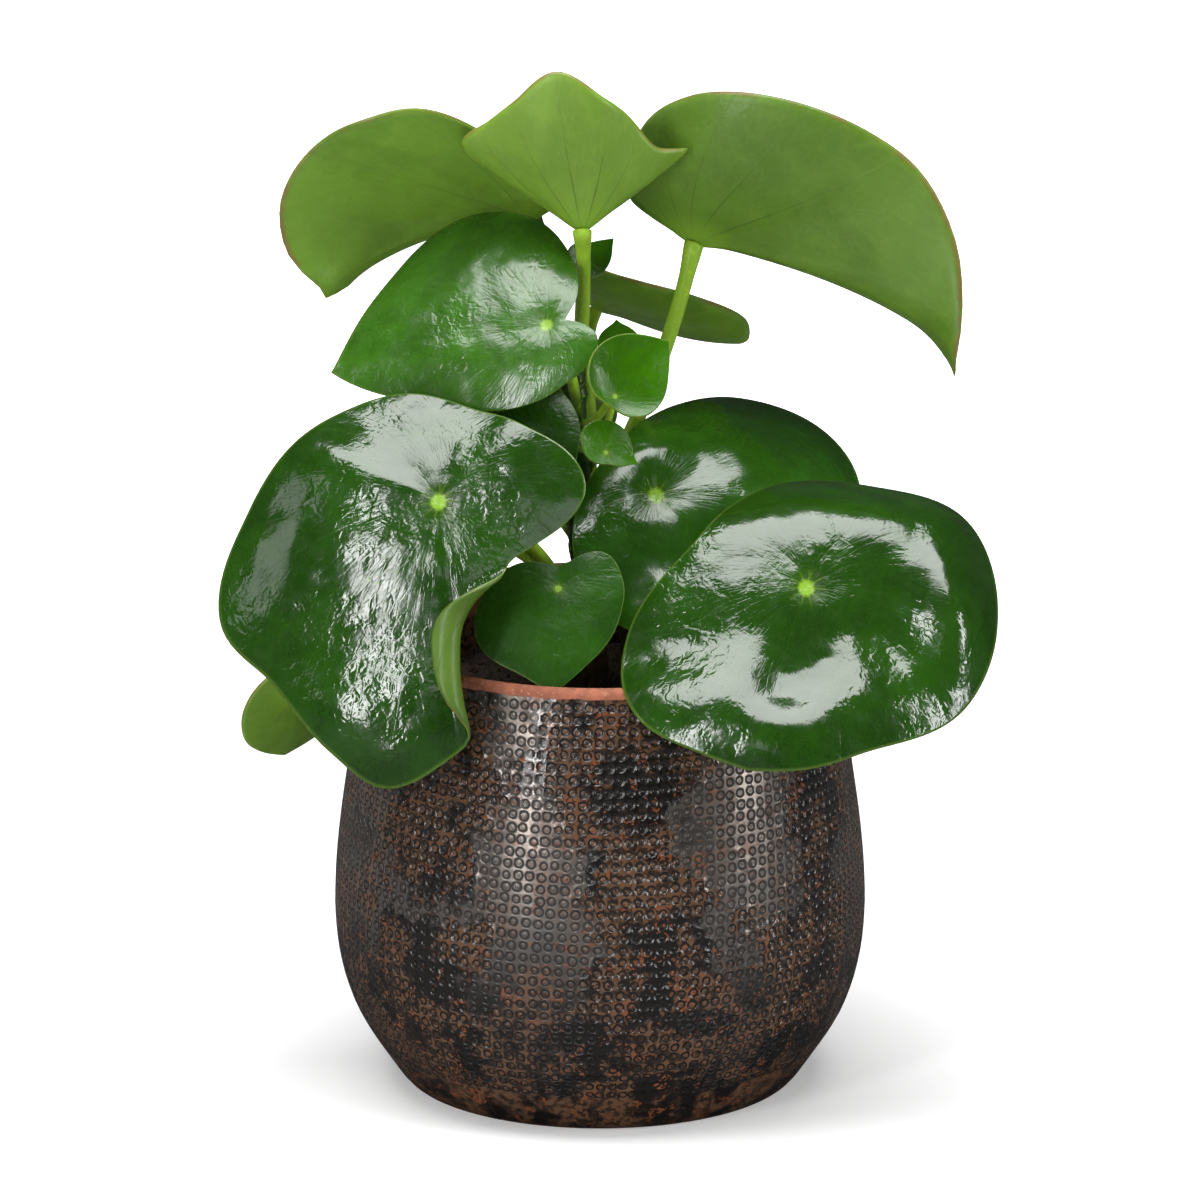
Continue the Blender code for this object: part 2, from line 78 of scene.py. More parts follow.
STEMS = dict(
    stem_main=((-1, 8, 118, 5.2), (-1.6, 8, 128, 5.1), (-2.2, 8, 138, 5.0), (-3, 8, 150, 4.9),
               (-4.4, 7.6, 168, 4.7), (-6, 7, 187, 4.5), (-7.2, 5.6, 205, 4.3), (-8, 4, 222, 4.0),
               (-8.2, 3, 236, 3.6), (-8, 2.6, 245, 3.0)),
    stem_left=((-8, -16, 118, 4.4), (-8, -16.3, 130, 4.3), (-8, -16.8, 142, 4.1), (-8, -17.4, 154, 3.8),
               (-8, -18, 164, 3.3)),
    stem_right=((11, -12, 118, 4.6), (11, -12, 130, 4.5), (11, -12, 142, 4.3), (10.7, -12, 156, 3.9),
                (10, -12, 168, 3.3)),
)

# Petioles: leaf, stem, start on the stem, the two points that bend the stalk, radius at the stem and at the
# blade. A number instead of the second bending point is the length that the stalk runs square to the blade.
PETIOLES = (
    ("leaf_top_left", "stem_main", (-8, 4, 226), (-14, 10, 255), 22, 2.5, 2.1),
    ("leaf_top_centre", "stem_main", (-8, 3, 240), (-6, 5, 262), (-5, -1, 284), 2.6, 2.4),
    ("leaf_top_right", "stem_main", (-5, 7, 196), (11, 30, 214), (25, 4, 258), 2.7, 2.5),
    ("leaf_upper_left", "stem_main", (-8, 3, 224), (-6.5, -2, 246), 14, 2.0, 1.8),
    ("leaf_upper_back", "stem_main", (-5, 7, 198), (1, 24, 220), 18, 2.0, 1.7),
    ("leaf_large_left", "stem_left", (-8, -18, 160), (-18, -20, 201), (-38, -34, 204), 2.8, 2.4),
    ("leaf_large_right", "stem_right", (11, -12, 150), (32, -20, 151), (66, -45, 164), 2.8, 2.4),
    ("leaf_middle_right", "stem_right", (10, -12, 164), (10, -6, 180), 14, 2.4, 2.1),
    ("leaf_low_front", "stem_left", (-8, -17, 146), (-9, -38, 160), 14, 1.9, 1.6),
    ("leaf_inner_left", "stem_main", (-6, 7, 188), (-14, 2, 204), 10, 1.9, 1.6),
    ("leaf_young_centre", "stem_main", (-8, 3, 228), (2, -12, 234), 12, 1.5, 1.2),
    ("leaf_young_small", "stem_main", (-8, 3, 220), (-2, -14, 226), 8, 1.4, 1.1),
    ("leaf_sprout_top", "stem_main", (-8, 3, 240), (-6, 9, 262), 8, 1.3, 1.0),
    ("leaf_sprout_inner", "stem_main", (-7, 6, 206), (6, 10, 226), 8, 1.3, 1.0),
    ("leaf_low_left", "stem_main", (-2, 8, 142), (-50, 0, 206), (-90, -12, 168), 2.0, 1.6),
    ("leaf_back_left", "stem_main", (-6, 7, 184), (-18, 26, 198), 18, 2.2, 1.9),
    ("leaf_back_right", "stem_main", (-4, 8, 172), (14, 24, 188), 18, 2.3, 2.0),
    ("leaf_low_back", "stem_main", (-2, 8, 146), (12, 48, 184), 12, 2.0, 1.8),
    ("leaf_low_back_left", "stem_main", (-2, 8, 152), (-26, 40, 186), 12, 2.0, 1.8),
)

# Leaves: at = where the petiole meets the blade's upper face; face = (direction that the upper face looks to,
# where 0 is the front and 90 the right; degrees that it is raised); tip = (direction, extra reach, width in
# degrees, curl); spokes = (direction in the blade, reach, slope at the petiole, slope at the margin);
# dimple = (depth, radius) of the hollow over the petiole; level = radius of the level part around it;
# swells = (direction, distance, radius, height) of each low swell; fold = line beyond which the blade rolls
# up: its X, the Y of its middle, how it bends away above and below that, and the radius of the roll.
LEAVES = [
    dict(name="leaf_top_left", at=(-24.5, 31, 293.3), face=(200, 52), tip=(183, 13, 6, -20),
         spokes=((183, 65, 4, -36), (189, 80, 8, -18), (196, 86, 10, 0), (204, 86, 12, 12),
         (215, 83, 13, 22), (228, 80, 13, 23), (242, 70, 14, 26), (258, 44, 12, 30), (290, 16, 8, 20),
         (340, 13, 4, 20), (30, 18, 20, 34), (70, 32, 38, 50), (110, 46, 34, 48), (145, 60, 20, 30),
         (168, 64, 8, -14))),
    dict(name="leaf_top_centre", at=(-6, -12, 301), face=(182, 60), tip=(350, 6, 9, -25),
         spokes=((350, 38, 32, 42), (15, 33, 32, 46), (50, 27, 32, 52), (90, 25, 32, 54), (130, 27, 32, 52),
         (165, 38, 32, 44), (188, 49, 34, 36), (210, 48, 36, 50), (232, 51, 36, 58), (258, 58, 38, 66),
         (284, 49, 36, 62), (310, 41, 36, 64), (332, 36, 34, 48))),
    dict(name="leaf_top_right", at=(32, 12, 290.1), face=(150, 56), tip=(356, 15, 7, -60),
         spokes=((356, 92, 2, -27), (350, 91, 6, -10), (343, 89, 10, 14), (333, 84, 16, 37),
         (320, 77, 20, 52), (305, 71, 24, 59), (288, 66, 27, 62), (270, 61, 28, 66), (248, 54, 30, 68),
         (222, 46, 26, 66), (200, 36, 20, 50), (178, 28, 14, 30), (145, 27, 16, 30), (100, 42, 18, 34),
         (60, 62, 14, 30), (25, 80, 8, 4))),
    dict(name="leaf_upper_left", at=(-18, -26, 271.2), face=(-20, 38), tip=(184, 10, 9, 10),
         dimple=(0.6, 5),
         spokes=((345, 18, 4, -30), (12, 7, 4, -10), (45, 15, 4, -25), (75, 29, 4, -35), (102, 49, 4, -35),
         (124, 61, 4, -35), (150, 65, 4, -30), (184, 68, 2, -18), (205, 49, 2, -24), (235, 34, 2, -28),
         (280, 23, 2, -30), (310, 21, 4, -34))),
    dict(name="leaf_upper_back", at=(-1, 47, 258.1), face=(132, 63), tip=(188, 4, 9, 0),
         spokes=((0, 53, -5, 23), (340, 54, -3, 36), (315, 46, 0, 38), (290, 38, 2, 36), (265, 36, 4, 32),
         (230, 34, 12, 38), (200, 34, 20, 54), (180, 34, 26, 55), (150, 34, 20, 40), (110, 34, 12, 27),
         (70, 38, 10, 29), (30, 48, -2, 26))),
    dict(name="leaf_large_left", at=(-54, -60, 219.2), face=(-10, 25), tip=(258, 2, 8, -30),
         fold=(1.7, -55, 0.0006, 0.006, 4.7), dimple=(0.5, 4), level=4, swells=((243, 80, 14, 2.5),),
         spokes=((5, 50, 2, -6), (40, 39, 2, -10), (66, 36, -8, -26), (84, 38, -13, -30),
         (112, 46, -14, -32), (134, 52, -10, -34), (154, 58, 2, -34), (180, 71, 2, -36), (205, 89, 2, -34),
         (225, 85, 2, -28), (245, 93, 2, -26), (256, 99, 2, -26), (262, 96, 2, -24), (270, 88, 2, -22),
         (277, 81, 0, -18), (283, 73, 0, -14), (291, 55, 0, -12), (304, 39, 0, -8), (317, 32, 0, -8),
         (335, 36, 0, -8))),
    dict(name="leaf_large_right", at=(69, -66, 191), face=(15, 47), tip=(255, 2, 8, -30), dimple=(0.8, 6),
         level=5, swells=((34, 58, 18, 7), (95, 30, 20, 7), (140, 44, 18, 5), (50, 36, 16, 5),
         (265, 24, 18, -7), (205, 38, 16, -5), (335, 34, 16, -5), (5, 50, 18, 9), (345, 54, 14, 6),
         (200, 58, 16, -4), (262, 36, 12, -3.5)),
         spokes=((0, 71, 3, -38), (35, 74, 3, -40), (65, 61, -3, -38), (95, 53, -8, -38),
         (125, 46, -14, -34), (155, 46, -18, -32), (190, 63, -16, -38), (218, 73, -11, -35),
         (240, 70, -3, -38), (268, 67, 4, -36), (295, 62, 4, -38), (330, 69, 2, -38))),
    dict(name="leaf_middle_right", at=(19, -14, 208.3), face=(15, 45), tip=(350, 7, 9, -10), level=4,
         swells=((95, 20, 14, 5), (40, 36, 16, 4), (265, 26, 16, -4), (320, 34, 16, -5), (240, 46, 14, -5)),
         spokes=((350, 66, 4, -30), (15, 79, 2, -34), (35, 79, -3, -34), (58, 66, -5, -38),
         (78, 48, -5, -38), (95, 35, -5, -34), (120, 25, -2, -30), (160, 23, 4, -24), (195, 29, 4, -30),
         (215, 35, 4, -30), (245, 45, 4, -34), (270, 52, 4, -34), (300, 50, 4, -34), (325, 56, 4, -32))),
    dict(name="leaf_low_front", at=(-14, -53, 187), face=(0, 33), tip=(267, 5, 9, 0), dimple=(0.3, 4),
         spokes=((10, 22, 0, -8), (40, 20, 0, -5), (70, 10, 0, -3), (110, 9, 0, -3), (150, 17, 0, -6),
         (185, 26, 0, -10), (215, 33, 0, -8), (245, 32, 0, -6), (267, 32, 0, -8), (295, 27, 0, -12),
         (335, 23, 0, -14))),
    dict(name="leaf_inner_left", at=(-22.5, -16, 229.6), face=(-8, 31), tip=(250, 5, 9, -10),
         dimple=(0.4, 5),
         spokes=((345, 16, 4, -20), (30, 17, 4, -24), (60, 19, 4, -26), (90, 22, 4, -28), (135, 25, 4, -30),
         (180, 26, 4, -30), (225, 22, 4, -26), (250, 19, 4, -20), (280, 18, 4, -26), (315, 18, 4, -24))),
    dict(name="leaf_young_centre", at=(5, -38, 249.8), face=(20, 25), tip=(48, 3, 9, -10), dimple=(0.6, 7),
         spokes=((48, 23, 10, 25), (75, 22, 10, 30), (100, 20, 10, 30), (125, 17, 10, 30),
         (150, 13, 10, 30), (180, 8, 10, 30), (215, 4, 10, 20), (245, 4, 10, 20), (275, 5, 10, 20),
         (305, 9, 10, 30), (330, 13, 10, 30), (355, 16, 10, 28), (22, 19, 10, 26))),
    dict(name="leaf_young_small", at=(2, -38, 230.2), face=(10, 30), tip=(340, 3, 9, -10), dimple=(0.4, 7),
         spokes=((340, 8.5, 6, 10), (20, 9, 8, 20), (55, 10, 8, 20), (100, 11, 8, 20), (140, 11, 8, 20),
         (168, 9, 8, 20), (205, 6.5, 6, 10), (245, 4.5, 4, 6), (290, 4.5, 4, 6))),
    dict(name="leaf_sprout_top", at=(-4, 5, 283.6), face=(20, 30), tip=(50, 3, 9, 0), dimple=(0.3, 7),
         spokes=((50, 10, 6, 20), (90, 8, 6, 20), (140, 9, 6, 20), (185, 7, 6, 10), (270, 4, 4, 6),
         (350, 6, 6, 12))),
    dict(name="leaf_sprout_inner", at=(6.5, 8, 253), face=(0, 35), tip=(95, 2, 9, 0), dimple=(0.3, 7),
         spokes=((95, 9, 6, 10), (45, 8.5, 6, 12), (0, 7, 6, 10), (300, 5, 4, 6), (240, 5, 4, 6),
         (180, 7, 6, 10), (140, 8.5, 6, 12))),
    dict(name="leaf_low_left", at=(-101, 2, 136), face=(215, 25), tip=(95, 3, 9, 0),
         spokes=((0, 16, 2, 10), (45, 30, 4, 14), (70, 38, 6, 20), (95, 38, 6, 20), (120, 33, 6, 20),
         (150, 25, 6, 20), (180, 19, 6, 20), (215, 14, 6, 20), (250, 12, 4, 12), (285, 11, 4, 14),
         (330, 12, 4, 12))),
    dict(name="leaf_back_left", at=(-34, 48, 222), face=(196, 48), tip=(92, 7, 9, -15),
         spokes=((0, 40, 4, -30), (30, 44, 4, -34), (60, 46, 4, -30), (92, 46, 4, -22), (125, 44, 4, -32),
         (160, 38, 4, -32), (200, 30, 4, -30), (240, 20, 4, -26), (270, 14, 4, -20), (300, 22, 4, -26),
         (335, 34, 4, -30))),
    dict(name="leaf_back_right", at=(50, 52, 207), face=(158, 46), tip=(70, 7, 9, -15),
         spokes=((0, 38, 4, -32), (35, 44, 4, -32), (70, 48, 4, -24), (105, 46, 4, -32), (140, 40, 4, -34),
         (180, 34, 4, -30), (215, 26, 4, -28), (250, 16, 4, -20), (285, 20, 4, -24), (325, 30, 4, -30))),
    dict(name="leaf_low_back", at=(26, 90, 163), face=(172, 42), tip=(84, 6, 9, -15),
         spokes=((0, 32, 4, -30), (45, 36, 4, -32), (84, 40, 4, -22), (125, 36, 4, -32), (165, 30, 4, -30),
         (210, 24, 4, -26), (255, 13, 4, -18), (290, 16, 4, -20), (330, 26, 4, -28))),
    dict(name="leaf_low_back_left", at=(-50, 72, 176), face=(206, 44), tip=(110, 6, 9, -15),
         spokes=((0, 27, 4, -28), (40, 34, 4, -32), (75, 38, 4, -30), (110, 40, 4, -20), (145, 38, 4, -32),
         (180, 32, 4, -30), (220, 24, 4, -26), (265, 13, 4, -18), (310, 18, 4, -24))),
]


# Direction of the main vein where it isn't the tip's
MAIN_VEIN = dict(leaf_top_centre=258, leaf_upper_back=0, leaf_young_small=75)

FRESH = ("leaf_young_centre", "leaf_young_small", "leaf_sprout_top", "leaf_sprout_inner")
# leaves with a brighter lower face: partly their paler young colour, partly painted light shining through
# them
YOUNG_AND_BACKLIT = FRESH + ("leaf_top_centre",)

# Finish of the upper faces: name, colour setting and share of it, radius of the petiole spot, roughness,
# specular level and leaves. A share above 1 lightens the colour: painted light on leaves in the shade of
# the leaves above. Lower faces are bright on young leaves, partly painted light shining through them, and
# darker by a share in SHADED_BACKS, which is painted shade.
UPPER_FINISHES = (
    ("deep", "deep", 1.0, 2.3, 0.10, 0.6, ("others",)),
    # less glossy, and the deep colour made lighter: painted light on these leaves in the shade of the leaves
    # above
    ("calm", "deep", 1.4, 1.0, 0.22, 0.35, ("leaf_low_front", "leaf_inner_left")),
    # the deep colour made lighter: painted light on this leaf in the shade of the leaves above
    ("broad", "deep", 1.8, 2.3, 0.10, 0.6, ("leaf_middle_right",)),
    ("middle", "middle", 1.0, 1.8, 0.16, 0.6,
     ("leaf_upper_left", "leaf_top_left", "leaf_top_right", "leaf_upper_back")),
    ("fresh", "fresh", 1.0, 0.7, 0.14, 0.35, FRESH),
)
# shares that darken the lower-face colour: painted shade on these leaves' undersides
SHADED_BACKS = {"leaf_top_right": 0.82, "leaf_large_left": 0.55}

VEIN_STEP = math.radians(36)     # angle between main veins at the petiole
VEIN_BEND = 0.3                  # how much the veins turn towards the tip on their way out


def extent(name, description, value):
    """Length property of a settings group."""
    return FloatProperty(name=name, description=description, default=value, unit="LENGTH")


def tint(name, description, value):
    """Colour property of a settings group."""
    return FloatVectorProperty(name=name, description=description, subtype="COLOR", size=4,
                               default=(*value, 1), min=0, max=1)


class PotSettings(bpy.types.PropertyGroup):
    wall: extent("Wall", "Thickness of the clay wall", POT_WALL * MM)
    columns: IntProperty(name="Columns", description="Stamped dots around the pot", default=134, min=12)
    rows: IntProperty(name="Rows", description="Rows of stamped dots", default=35, min=2)
    dot: extent("Dot radius", "Radius of a stamped ring", 0.00158)
    depth: extent("Dot depth", "Depth of a stamped ring", 0.00005)
    dark: tint("Dark glaze", "Colour of the darkest glaze", (0.006, 0.0045, 0.004))
    bronze: tint("Bronze glaze", "Colour of the brown glaze", (0.100, 0.050, 0.026))
    rust: tint("Rust", "Colour where the clay shows through", (0.16, 0.050, 0.019))
    pewter: tint("Pewter glaze", "Colour of the smooth metallic glaze", (0.26, 0.225, 0.20))
    clay: tint("Bare clay", "Colour of the unglazed lip", (0.33, 0.095, 0.042))


class LeafSettings(bpy.types.PropertyGroup):
    around: IntProperty(name="Points around", description="Points around a large blade", default=168, min=12)
    rings: IntProperty(name="Rings", description="Rings of a large blade", default=40, min=4)
    vein_depth: extent("Vein depth", "How deep the main veins lie", 0.00010)
    deep: tint("Full grown", "Upper face of full grown leaves", (0.013, 0.053, 0.003))
    middle: tint("Half grown", "Upper face of younger leaves", (0.032, 0.115, 0.006))
    fresh: tint("Fresh", "Upper face of the youngest leaves", (0.032, 0.125, 0.001))
    under: tint("Underside", "Lower face of the leaves", (0.120, 0.240, 0.020))
    spot: tint("Petiole spot", "Pale spot over the petiole", (0.190, 0.360, 0.020))
    margin: tint("Margin", "Thin pale line along the margin", (0.130, 0.220, 0.030))


class StemSettings(bpy.types.PropertyGroup):
    young: tint("Petiole", "Colour of the petioles", (0.280, 0.480, 0.030))
    old: tint("Stem", "Colour of the stems", (0.010, 0.034, 0.001))
    foot: tint("Foot", "Colour of the corky foot of the stems", (0.120, 0.075, 0.035))


class SoilSettings(bpy.types.PropertyGroup):
    crumbs: IntProperty(name="Crumbs", description="Loose crumbs on the soil", default=900, min=0)
    dark: tint("Soil", "Colour of the damp soil", (0.020, 0.012, 0.008))
    light: tint("Fibres", "Colour of its dry bits", (0.110, 0.065, 0.035))


class StageSettings(bpy.types.PropertyGroup):
    elevation: FloatProperty(name="Elevation", description="Angle of the camera above level", subtype="ANGLE",
                             default=math.radians(16.3))
    distance: extent("Distance", "Camera to the plant's middle", 4.5)
    field: extent("Field", "Width of the frame at the plant", 0.408)
    middle: extent("Middle", "Height that the camera looks at", 0.1675)
    floor: tint("Floor", "Colour of the floor", (0.85, 0.85, 0.85))


def shade(colour, share, plus=0.0):
    """The colour times a share, or times one for each of red, green and blue, plus a constant."""
    shares = share if isinstance(share, tuple) else (share,) * 3
    return tuple(min(1.0, c * s + plus) for c, s in zip(colour[:3], shares)) + (1,)


def grey(value):
    """Even red, green and blue."""
    return (value,) * 3 + (1,)


class Graph:
    """Adds shader nodes to a tree; inputs are constants or sockets to link."""

    def __init__(self, tree):
        self.tree = tree

    def node(self, kind, inputs=None, **settings):
        """New node with its settings and inputs."""
        made = self.tree.nodes.new(kind)
        for key, value in settings.items():
            setattr(made, key, value)
        self.fill(made, inputs or {})
        return made

    def fill(self, made, inputs):
        """Links or sets the inputs of a node."""
        for key, value in inputs.items():
            if isinstance(value, bpy.types.NodeSocket):
                self.tree.links.new(value, made.inputs[key])
            else:
                made.inputs[key].default_value = value

    def math(self, operation, a, b=0.0):
        return self.node("ShaderNodeMath", {0: a, 1: b}, operation=operation).outputs[0]

    def add(self, a, b):
        return self.math("ADD", a, b)

    def sub(self, a, b):
        return self.math("SUBTRACT", a, b)

    def mul(self, a, b):
        return self.math("MULTIPLY", a, b)

    def parts(self, vector):
        """X, Y and Z of a vector."""
        made = self.node("ShaderNodeSeparateXYZ", {0: vector})
        return [made.outputs[axis] for axis in "XYZ"]

    def length(self, a, b):
        """Length of the flat vector (a, b)."""
        return self.math("SQRT", self.add(self.mul(a, a), self.mul(b, b)))

    def flip(self, value, end):
        """1 where value is 0, easing to end where it is 1."""
        return self.fade(value, 0.0, 1.0, 1.0, end)

    def fade(self, value, low, high, start=0.0, end=1.0):
        """Eases from start to end as value goes from low to high."""
        ends = {"Value": value, "From Min": low, "From Max": high, "To Min": start, "To Max": end}
        return self.node("ShaderNodeMapRange", ends, interpolation_type="SMOOTHSTEP").outputs["Result"]

    def mix(self, factor, a, b):
        return self.node("ShaderNodeMix", {0: factor, 6: a, 7: b}, data_type="RGBA").outputs[2]

    def noise(self, place, scale, detail=2.0, rough=0.5, warp=0.0):
        return self.node("ShaderNodeTexNoise", {"Vector": place, "Scale": scale, "Detail": detail,
                                                "Roughness": rough, "Distortion": warp}).outputs["Fac"]

    def cells(self, place, scale, feature="F1"):
        return self.node("ShaderNodeTexVoronoi", {"Vector": place, "Scale": scale},
                         feature=feature).outputs["Distance"]

    def uneven(self, place, scale, low, high):
        """A value that wanders from low to high over place."""
        return self.fade(self.noise(place, scale), 0.3, 0.7, low, high)

    def patches(self, place, size, low, high):
        """Cloudy patches: 0 to 1 over place, as the noise goes from low to high."""
        return self.node("ShaderNodeGroup", {"Place": place, "Size": size, "Low": low, "High": high},
                         node_tree=mottle()).outputs["Mask"]

    def relief(self, height, distance, normal=None):
        """Normals of a bump that is distance metres deep, over those in normal."""
        inputs = {"Height": height, "Distance": distance}
        if normal is not None:
            inputs["Normal"] = normal
        return self.node("ShaderNodeBump", inputs).outputs[0]


def new_group(name, inputs, outputs):
    """Empty shader node group, its graph, input and output nodes. Inputs without a value are vectors."""
    group = bpy.data.node_groups.new(name, "ShaderNodeTree")
    for label, value in inputs.items():
        kind = "NodeSocketVector" if value is None else "NodeSocketFloat"
        socket = group.interface.new_socket(name=label, in_out="INPUT", socket_type=kind)
        if value is not None:
            socket.default_value = value
    for label in outputs:
        group.interface.new_socket(name=label, in_out="OUTPUT", socket_type="NodeSocketFloat")
    graph = Graph(group)
    return group, graph, graph.node("NodeGroupInput"), graph.node("NodeGroupOutput")


def blade_pattern():
    """Veins and wrinkles of a blade. Blade is its flat map in decimetres with the main vein along +X, and
    Share runs from 0 at the petiole to 1 at the margin."""
    if "blade_pattern" in bpy.data.node_groups:
        return bpy.data.node_groups["blade_pattern"]
    group, g, start, end = new_group("blade_pattern", dict(Blade=None, Share=0.5, Place=None),
                                     ("Millimetres", "Veins", "Net", "Wrinkles"))
    x, y, _z = g.parts(start.outputs["Blade"])
    reach = g.mul(g.length(x, y), 100.0)
    turn = g.math("ARCTAN2", y, x)
    share = start.outputs["Share"]
    root = g.mul(turn, g.add(g.mul(share, VEIN_BEND), 1.0))
    step = g.math("FRACT", g.add(g.math("DIVIDE", root, VEIN_STEP), 0.5))
    off = g.mul(g.math("ABSOLUTE", g.sub(step, 0.5)), VEIN_STEP)
    apart = g.mul(off, reach)
    width = g.fade(share, 0.0, 1.0, 0.55, 0.22)
    veins = g.fade(g.math("DIVIDE", apart, width), 0.25, 1.0, 1.0, 0.0)
    flow = g.node("ShaderNodeCombineXYZ", {"X": g.mul(root, 17.0), "Y": g.mul(reach, 0.16)}).outputs[0]
    net = g.fade(g.cells(flow, 0.75, "DISTANCE_TO_EDGE"), 0.0, 0.09, 1.0, 0.0)
    streaks = g.noise(flow, 1.0, 1.0, 0.5, 0.6)
    dents = g.noise(start.outputs["Place"], 330.0, 1.5, 0.5, 0.8)
    worn = g.fade(g.noise(start.outputs["Place"], 34.0, 1.0), 0.4, 0.6, 0.3, 1.9)
    grain = g.noise(start.outputs["Place"], 900.0, 1.0, 0.5, 0.3)
    wrinkles = g.add(g.mul(streaks, 0.35), g.mul(grain, 0.08))
    wrinkles = g.add(wrinkles, g.mul(dents, worn))
    g.fill(end, {"Millimetres": reach, "Veins": veins, "Net": net, "Wrinkles": wrinkles})
    return group


def mottle():
    """Cloudy patches: Mask runs from 0 to 1 over Place."""
    if "mottle" in bpy.data.node_groups:
        return bpy.data.node_groups["mottle"]
    group, g, start, end = new_group("mottle", dict(Place=None, Size=40.0, Low=0.4, High=0.6), ("Mask",))
    cloud = g.node("ShaderNodeTexNoise", {"Vector": start.outputs["Place"], "Scale": start.outputs["Size"],
                                          "Detail": 5.0, "Roughness": 0.6, "Distortion": 0.3}).outputs["Fac"]
    mask = g.fade(cloud, start.outputs["Low"], start.outputs["High"])
    g.fill(end, {"Mask": mask})
    return group


def new_material(name):
    """Material with its graph, shader and object coordinates."""
    made = bpy.data.materials.new(name)
    made.use_nodes = True
    made.node_tree.nodes.clear()
    graph = Graph(made.node_tree)
    shader = graph.node("ShaderNodeBsdfPrincipled")
    out = graph.node("ShaderNodeOutputMaterial")
    made.node_tree.links.new(shader.outputs[0], out.inputs["Surface"])
    place = graph.node("ShaderNodeTexCoord").outputs["Object"]
    return made, graph, shader, place


def blade_nodes(graph, place):
    """Outputs of the blade pattern, and the share of the reach."""
    flat = graph.node("ShaderNodeUVMap", uv_map="blade").outputs[0]
    share = graph.node("ShaderNodeAttribute", attribute_name="share").outputs["Fac"]
    made = graph.node("ShaderNodeGroup", {"Blade": flat, "Share": share, "Place": place},
                      node_tree=blade_pattern())
    return made.outputs, share


def upper_material(name, colour, settings, spot_size, gloss, shine):
    """Glossy upper face with sunken veins, a fine wrinkle and the pale spot over the petiole."""
    made, g, shader, place = new_material(name)
    blade, share = blade_nodes(g, place)
    reach, veins, net = blade["Millimetres"], blade["Veins"], blade["Net"]
    lighter = shade(colour, 1.9, 0.004)
    darker = shade(colour, 0.62)
    skin = g.mix(g.patches(place, 34.0, 0.38, 0.66), darker, colour)
    skin = g.mix(g.mul(g.patches(place, 420.0, 0.5, 0.72), 0.12), skin, lighter)
    skin = g.mix(g.mul(net, 0.06), skin, lighter)
    rays = g.mul(veins, g.fade(reach, spot_size * 1.2, spot_size * 3.5, 0.5, 0.02))
    skin = g.mix(rays, skin, shade(settings.spot, 0.45))
    rough_edge = g.add(reach, g.mul(g.noise(place, 900.0), spot_size * 0.5))
    near = g.fade(rough_edge, spot_size * 1.0, spot_size * 1.75, 1.0, 0.0)
    skin = g.mix(near, skin, settings.spot)
    halo = g.fade(reach, spot_size, spot_size * 4.0, 0.10, 0.0)
    skin = g.mix(halo, skin, shade(settings.spot, 0.5))
    edge = g.fade(share, 0.978, 0.998)
    skin = g.mix(g.mul(edge, 0.4), skin, settings.margin)
    height = g.sub(blade["Wrinkles"], g.mul(veins, 0.08))
    height = g.sub(height, g.mul(net, 0.08))
    waves = g.relief(g.noise(place, 80.0, 1.0), 0.0009)
    wrinkled = g.relief(height, 0.000135, waves)
    g.fill(shader, {
        "Base Color": skin, "Roughness": g.uneven(place, 160.0, gloss, gloss + 0.09),
        "Normal": wrinkled, "IOR": 1.5, "Specular IOR Level": shine})
    return made


def under_material(name, colour, settings, veined):
    """Satin lower face, paler, with soft lines for the veins and a reddish bloom at the margin."""
    made, g, shader, place = new_material(name)
    blade, share = blade_nodes(g, place)
    reach, veins, net = blade["Millimetres"], blade["Veins"], blade["Net"]
    darker = shade(colour, (0.55, 0.62, 0.5))
    paler = shade(colour, (1.4, 1.3, 1.3), 0.01)
    skin = g.mix(g.fade(g.patches(place, 22.0, 0.36, 0.68), 0.0, 1.0, 0.5, 1.0), darker, colour)
    skin = g.mix(g.mul(g.patches(place, 130.0, 0.45, 0.7), 0.2), skin, paler)
    lines = g.mul(veins, g.fade(share, 0.1, 0.9, veined, veined * 0.25))
    skin = g.mix(lines, skin, shade(colour, 0.3))
    skin = g.mix(g.mul(net, 0.12), skin, paler)
    skin = g.mix(g.fade(reach, 3.0, 16.0, 0.75, 0.0), skin, shade(settings.spot, 0.8))
    bloom = g.mul(g.fade(share, 0.972, 0.995), g.patches(place, 55.0, 0.42, 0.6))
    skin = g.mix(g.mul(bloom, 0.6), skin, (0.16, 0.06, 0.025, 1))
    height = g.add(g.mul(blade["Wrinkles"], 0.6), g.mul(veins, 0.35))
    g.fill(shader, {
        "Base Color": skin, "Roughness": g.uneven(place, 140.0, 0.34, 0.46),
        "Normal": g.relief(height, 0.00016), "IOR": 1.42, "Specular IOR Level": 0.5,
        "Subsurface Weight": 0.18, "Subsurface Scale": 0.003})
    return made


def margin_material(settings):
    """The blade's rounded edge: a thin pale green line that blushes reddish brown in places."""
    made, g, shader, place = new_material("leaf_margin")
    green = g.mix(g.patches(place, 300.0, 0.4, 0.65), shade(settings.margin, 0.7), settings.margin)
    skin = g.mix(g.mul(g.patches(place, 24.0, 0.52, 0.68), 0.6), green, (0.19, 0.10, 0.03, 1))
    g.fill(shader, {
        "Base Color": skin, "Roughness": g.uneven(place, 400.0, 0.28, 0.42),
        "Normal": g.relief(g.noise(place, 900.0), 0.00008), "Subsurface Weight": 0.15,
        "Subsurface Scale": 0.002})
    return made


def direction(facing, raised):
    """Unit vector towards facing (0 is the front, 90 the right), raised above level, in degrees."""
    turn, lift = math.radians(facing), math.radians(raised)
    return np.array([math.sin(turn) * math.cos(lift), -math.cos(turn) * math.cos(lift), math.sin(lift)])


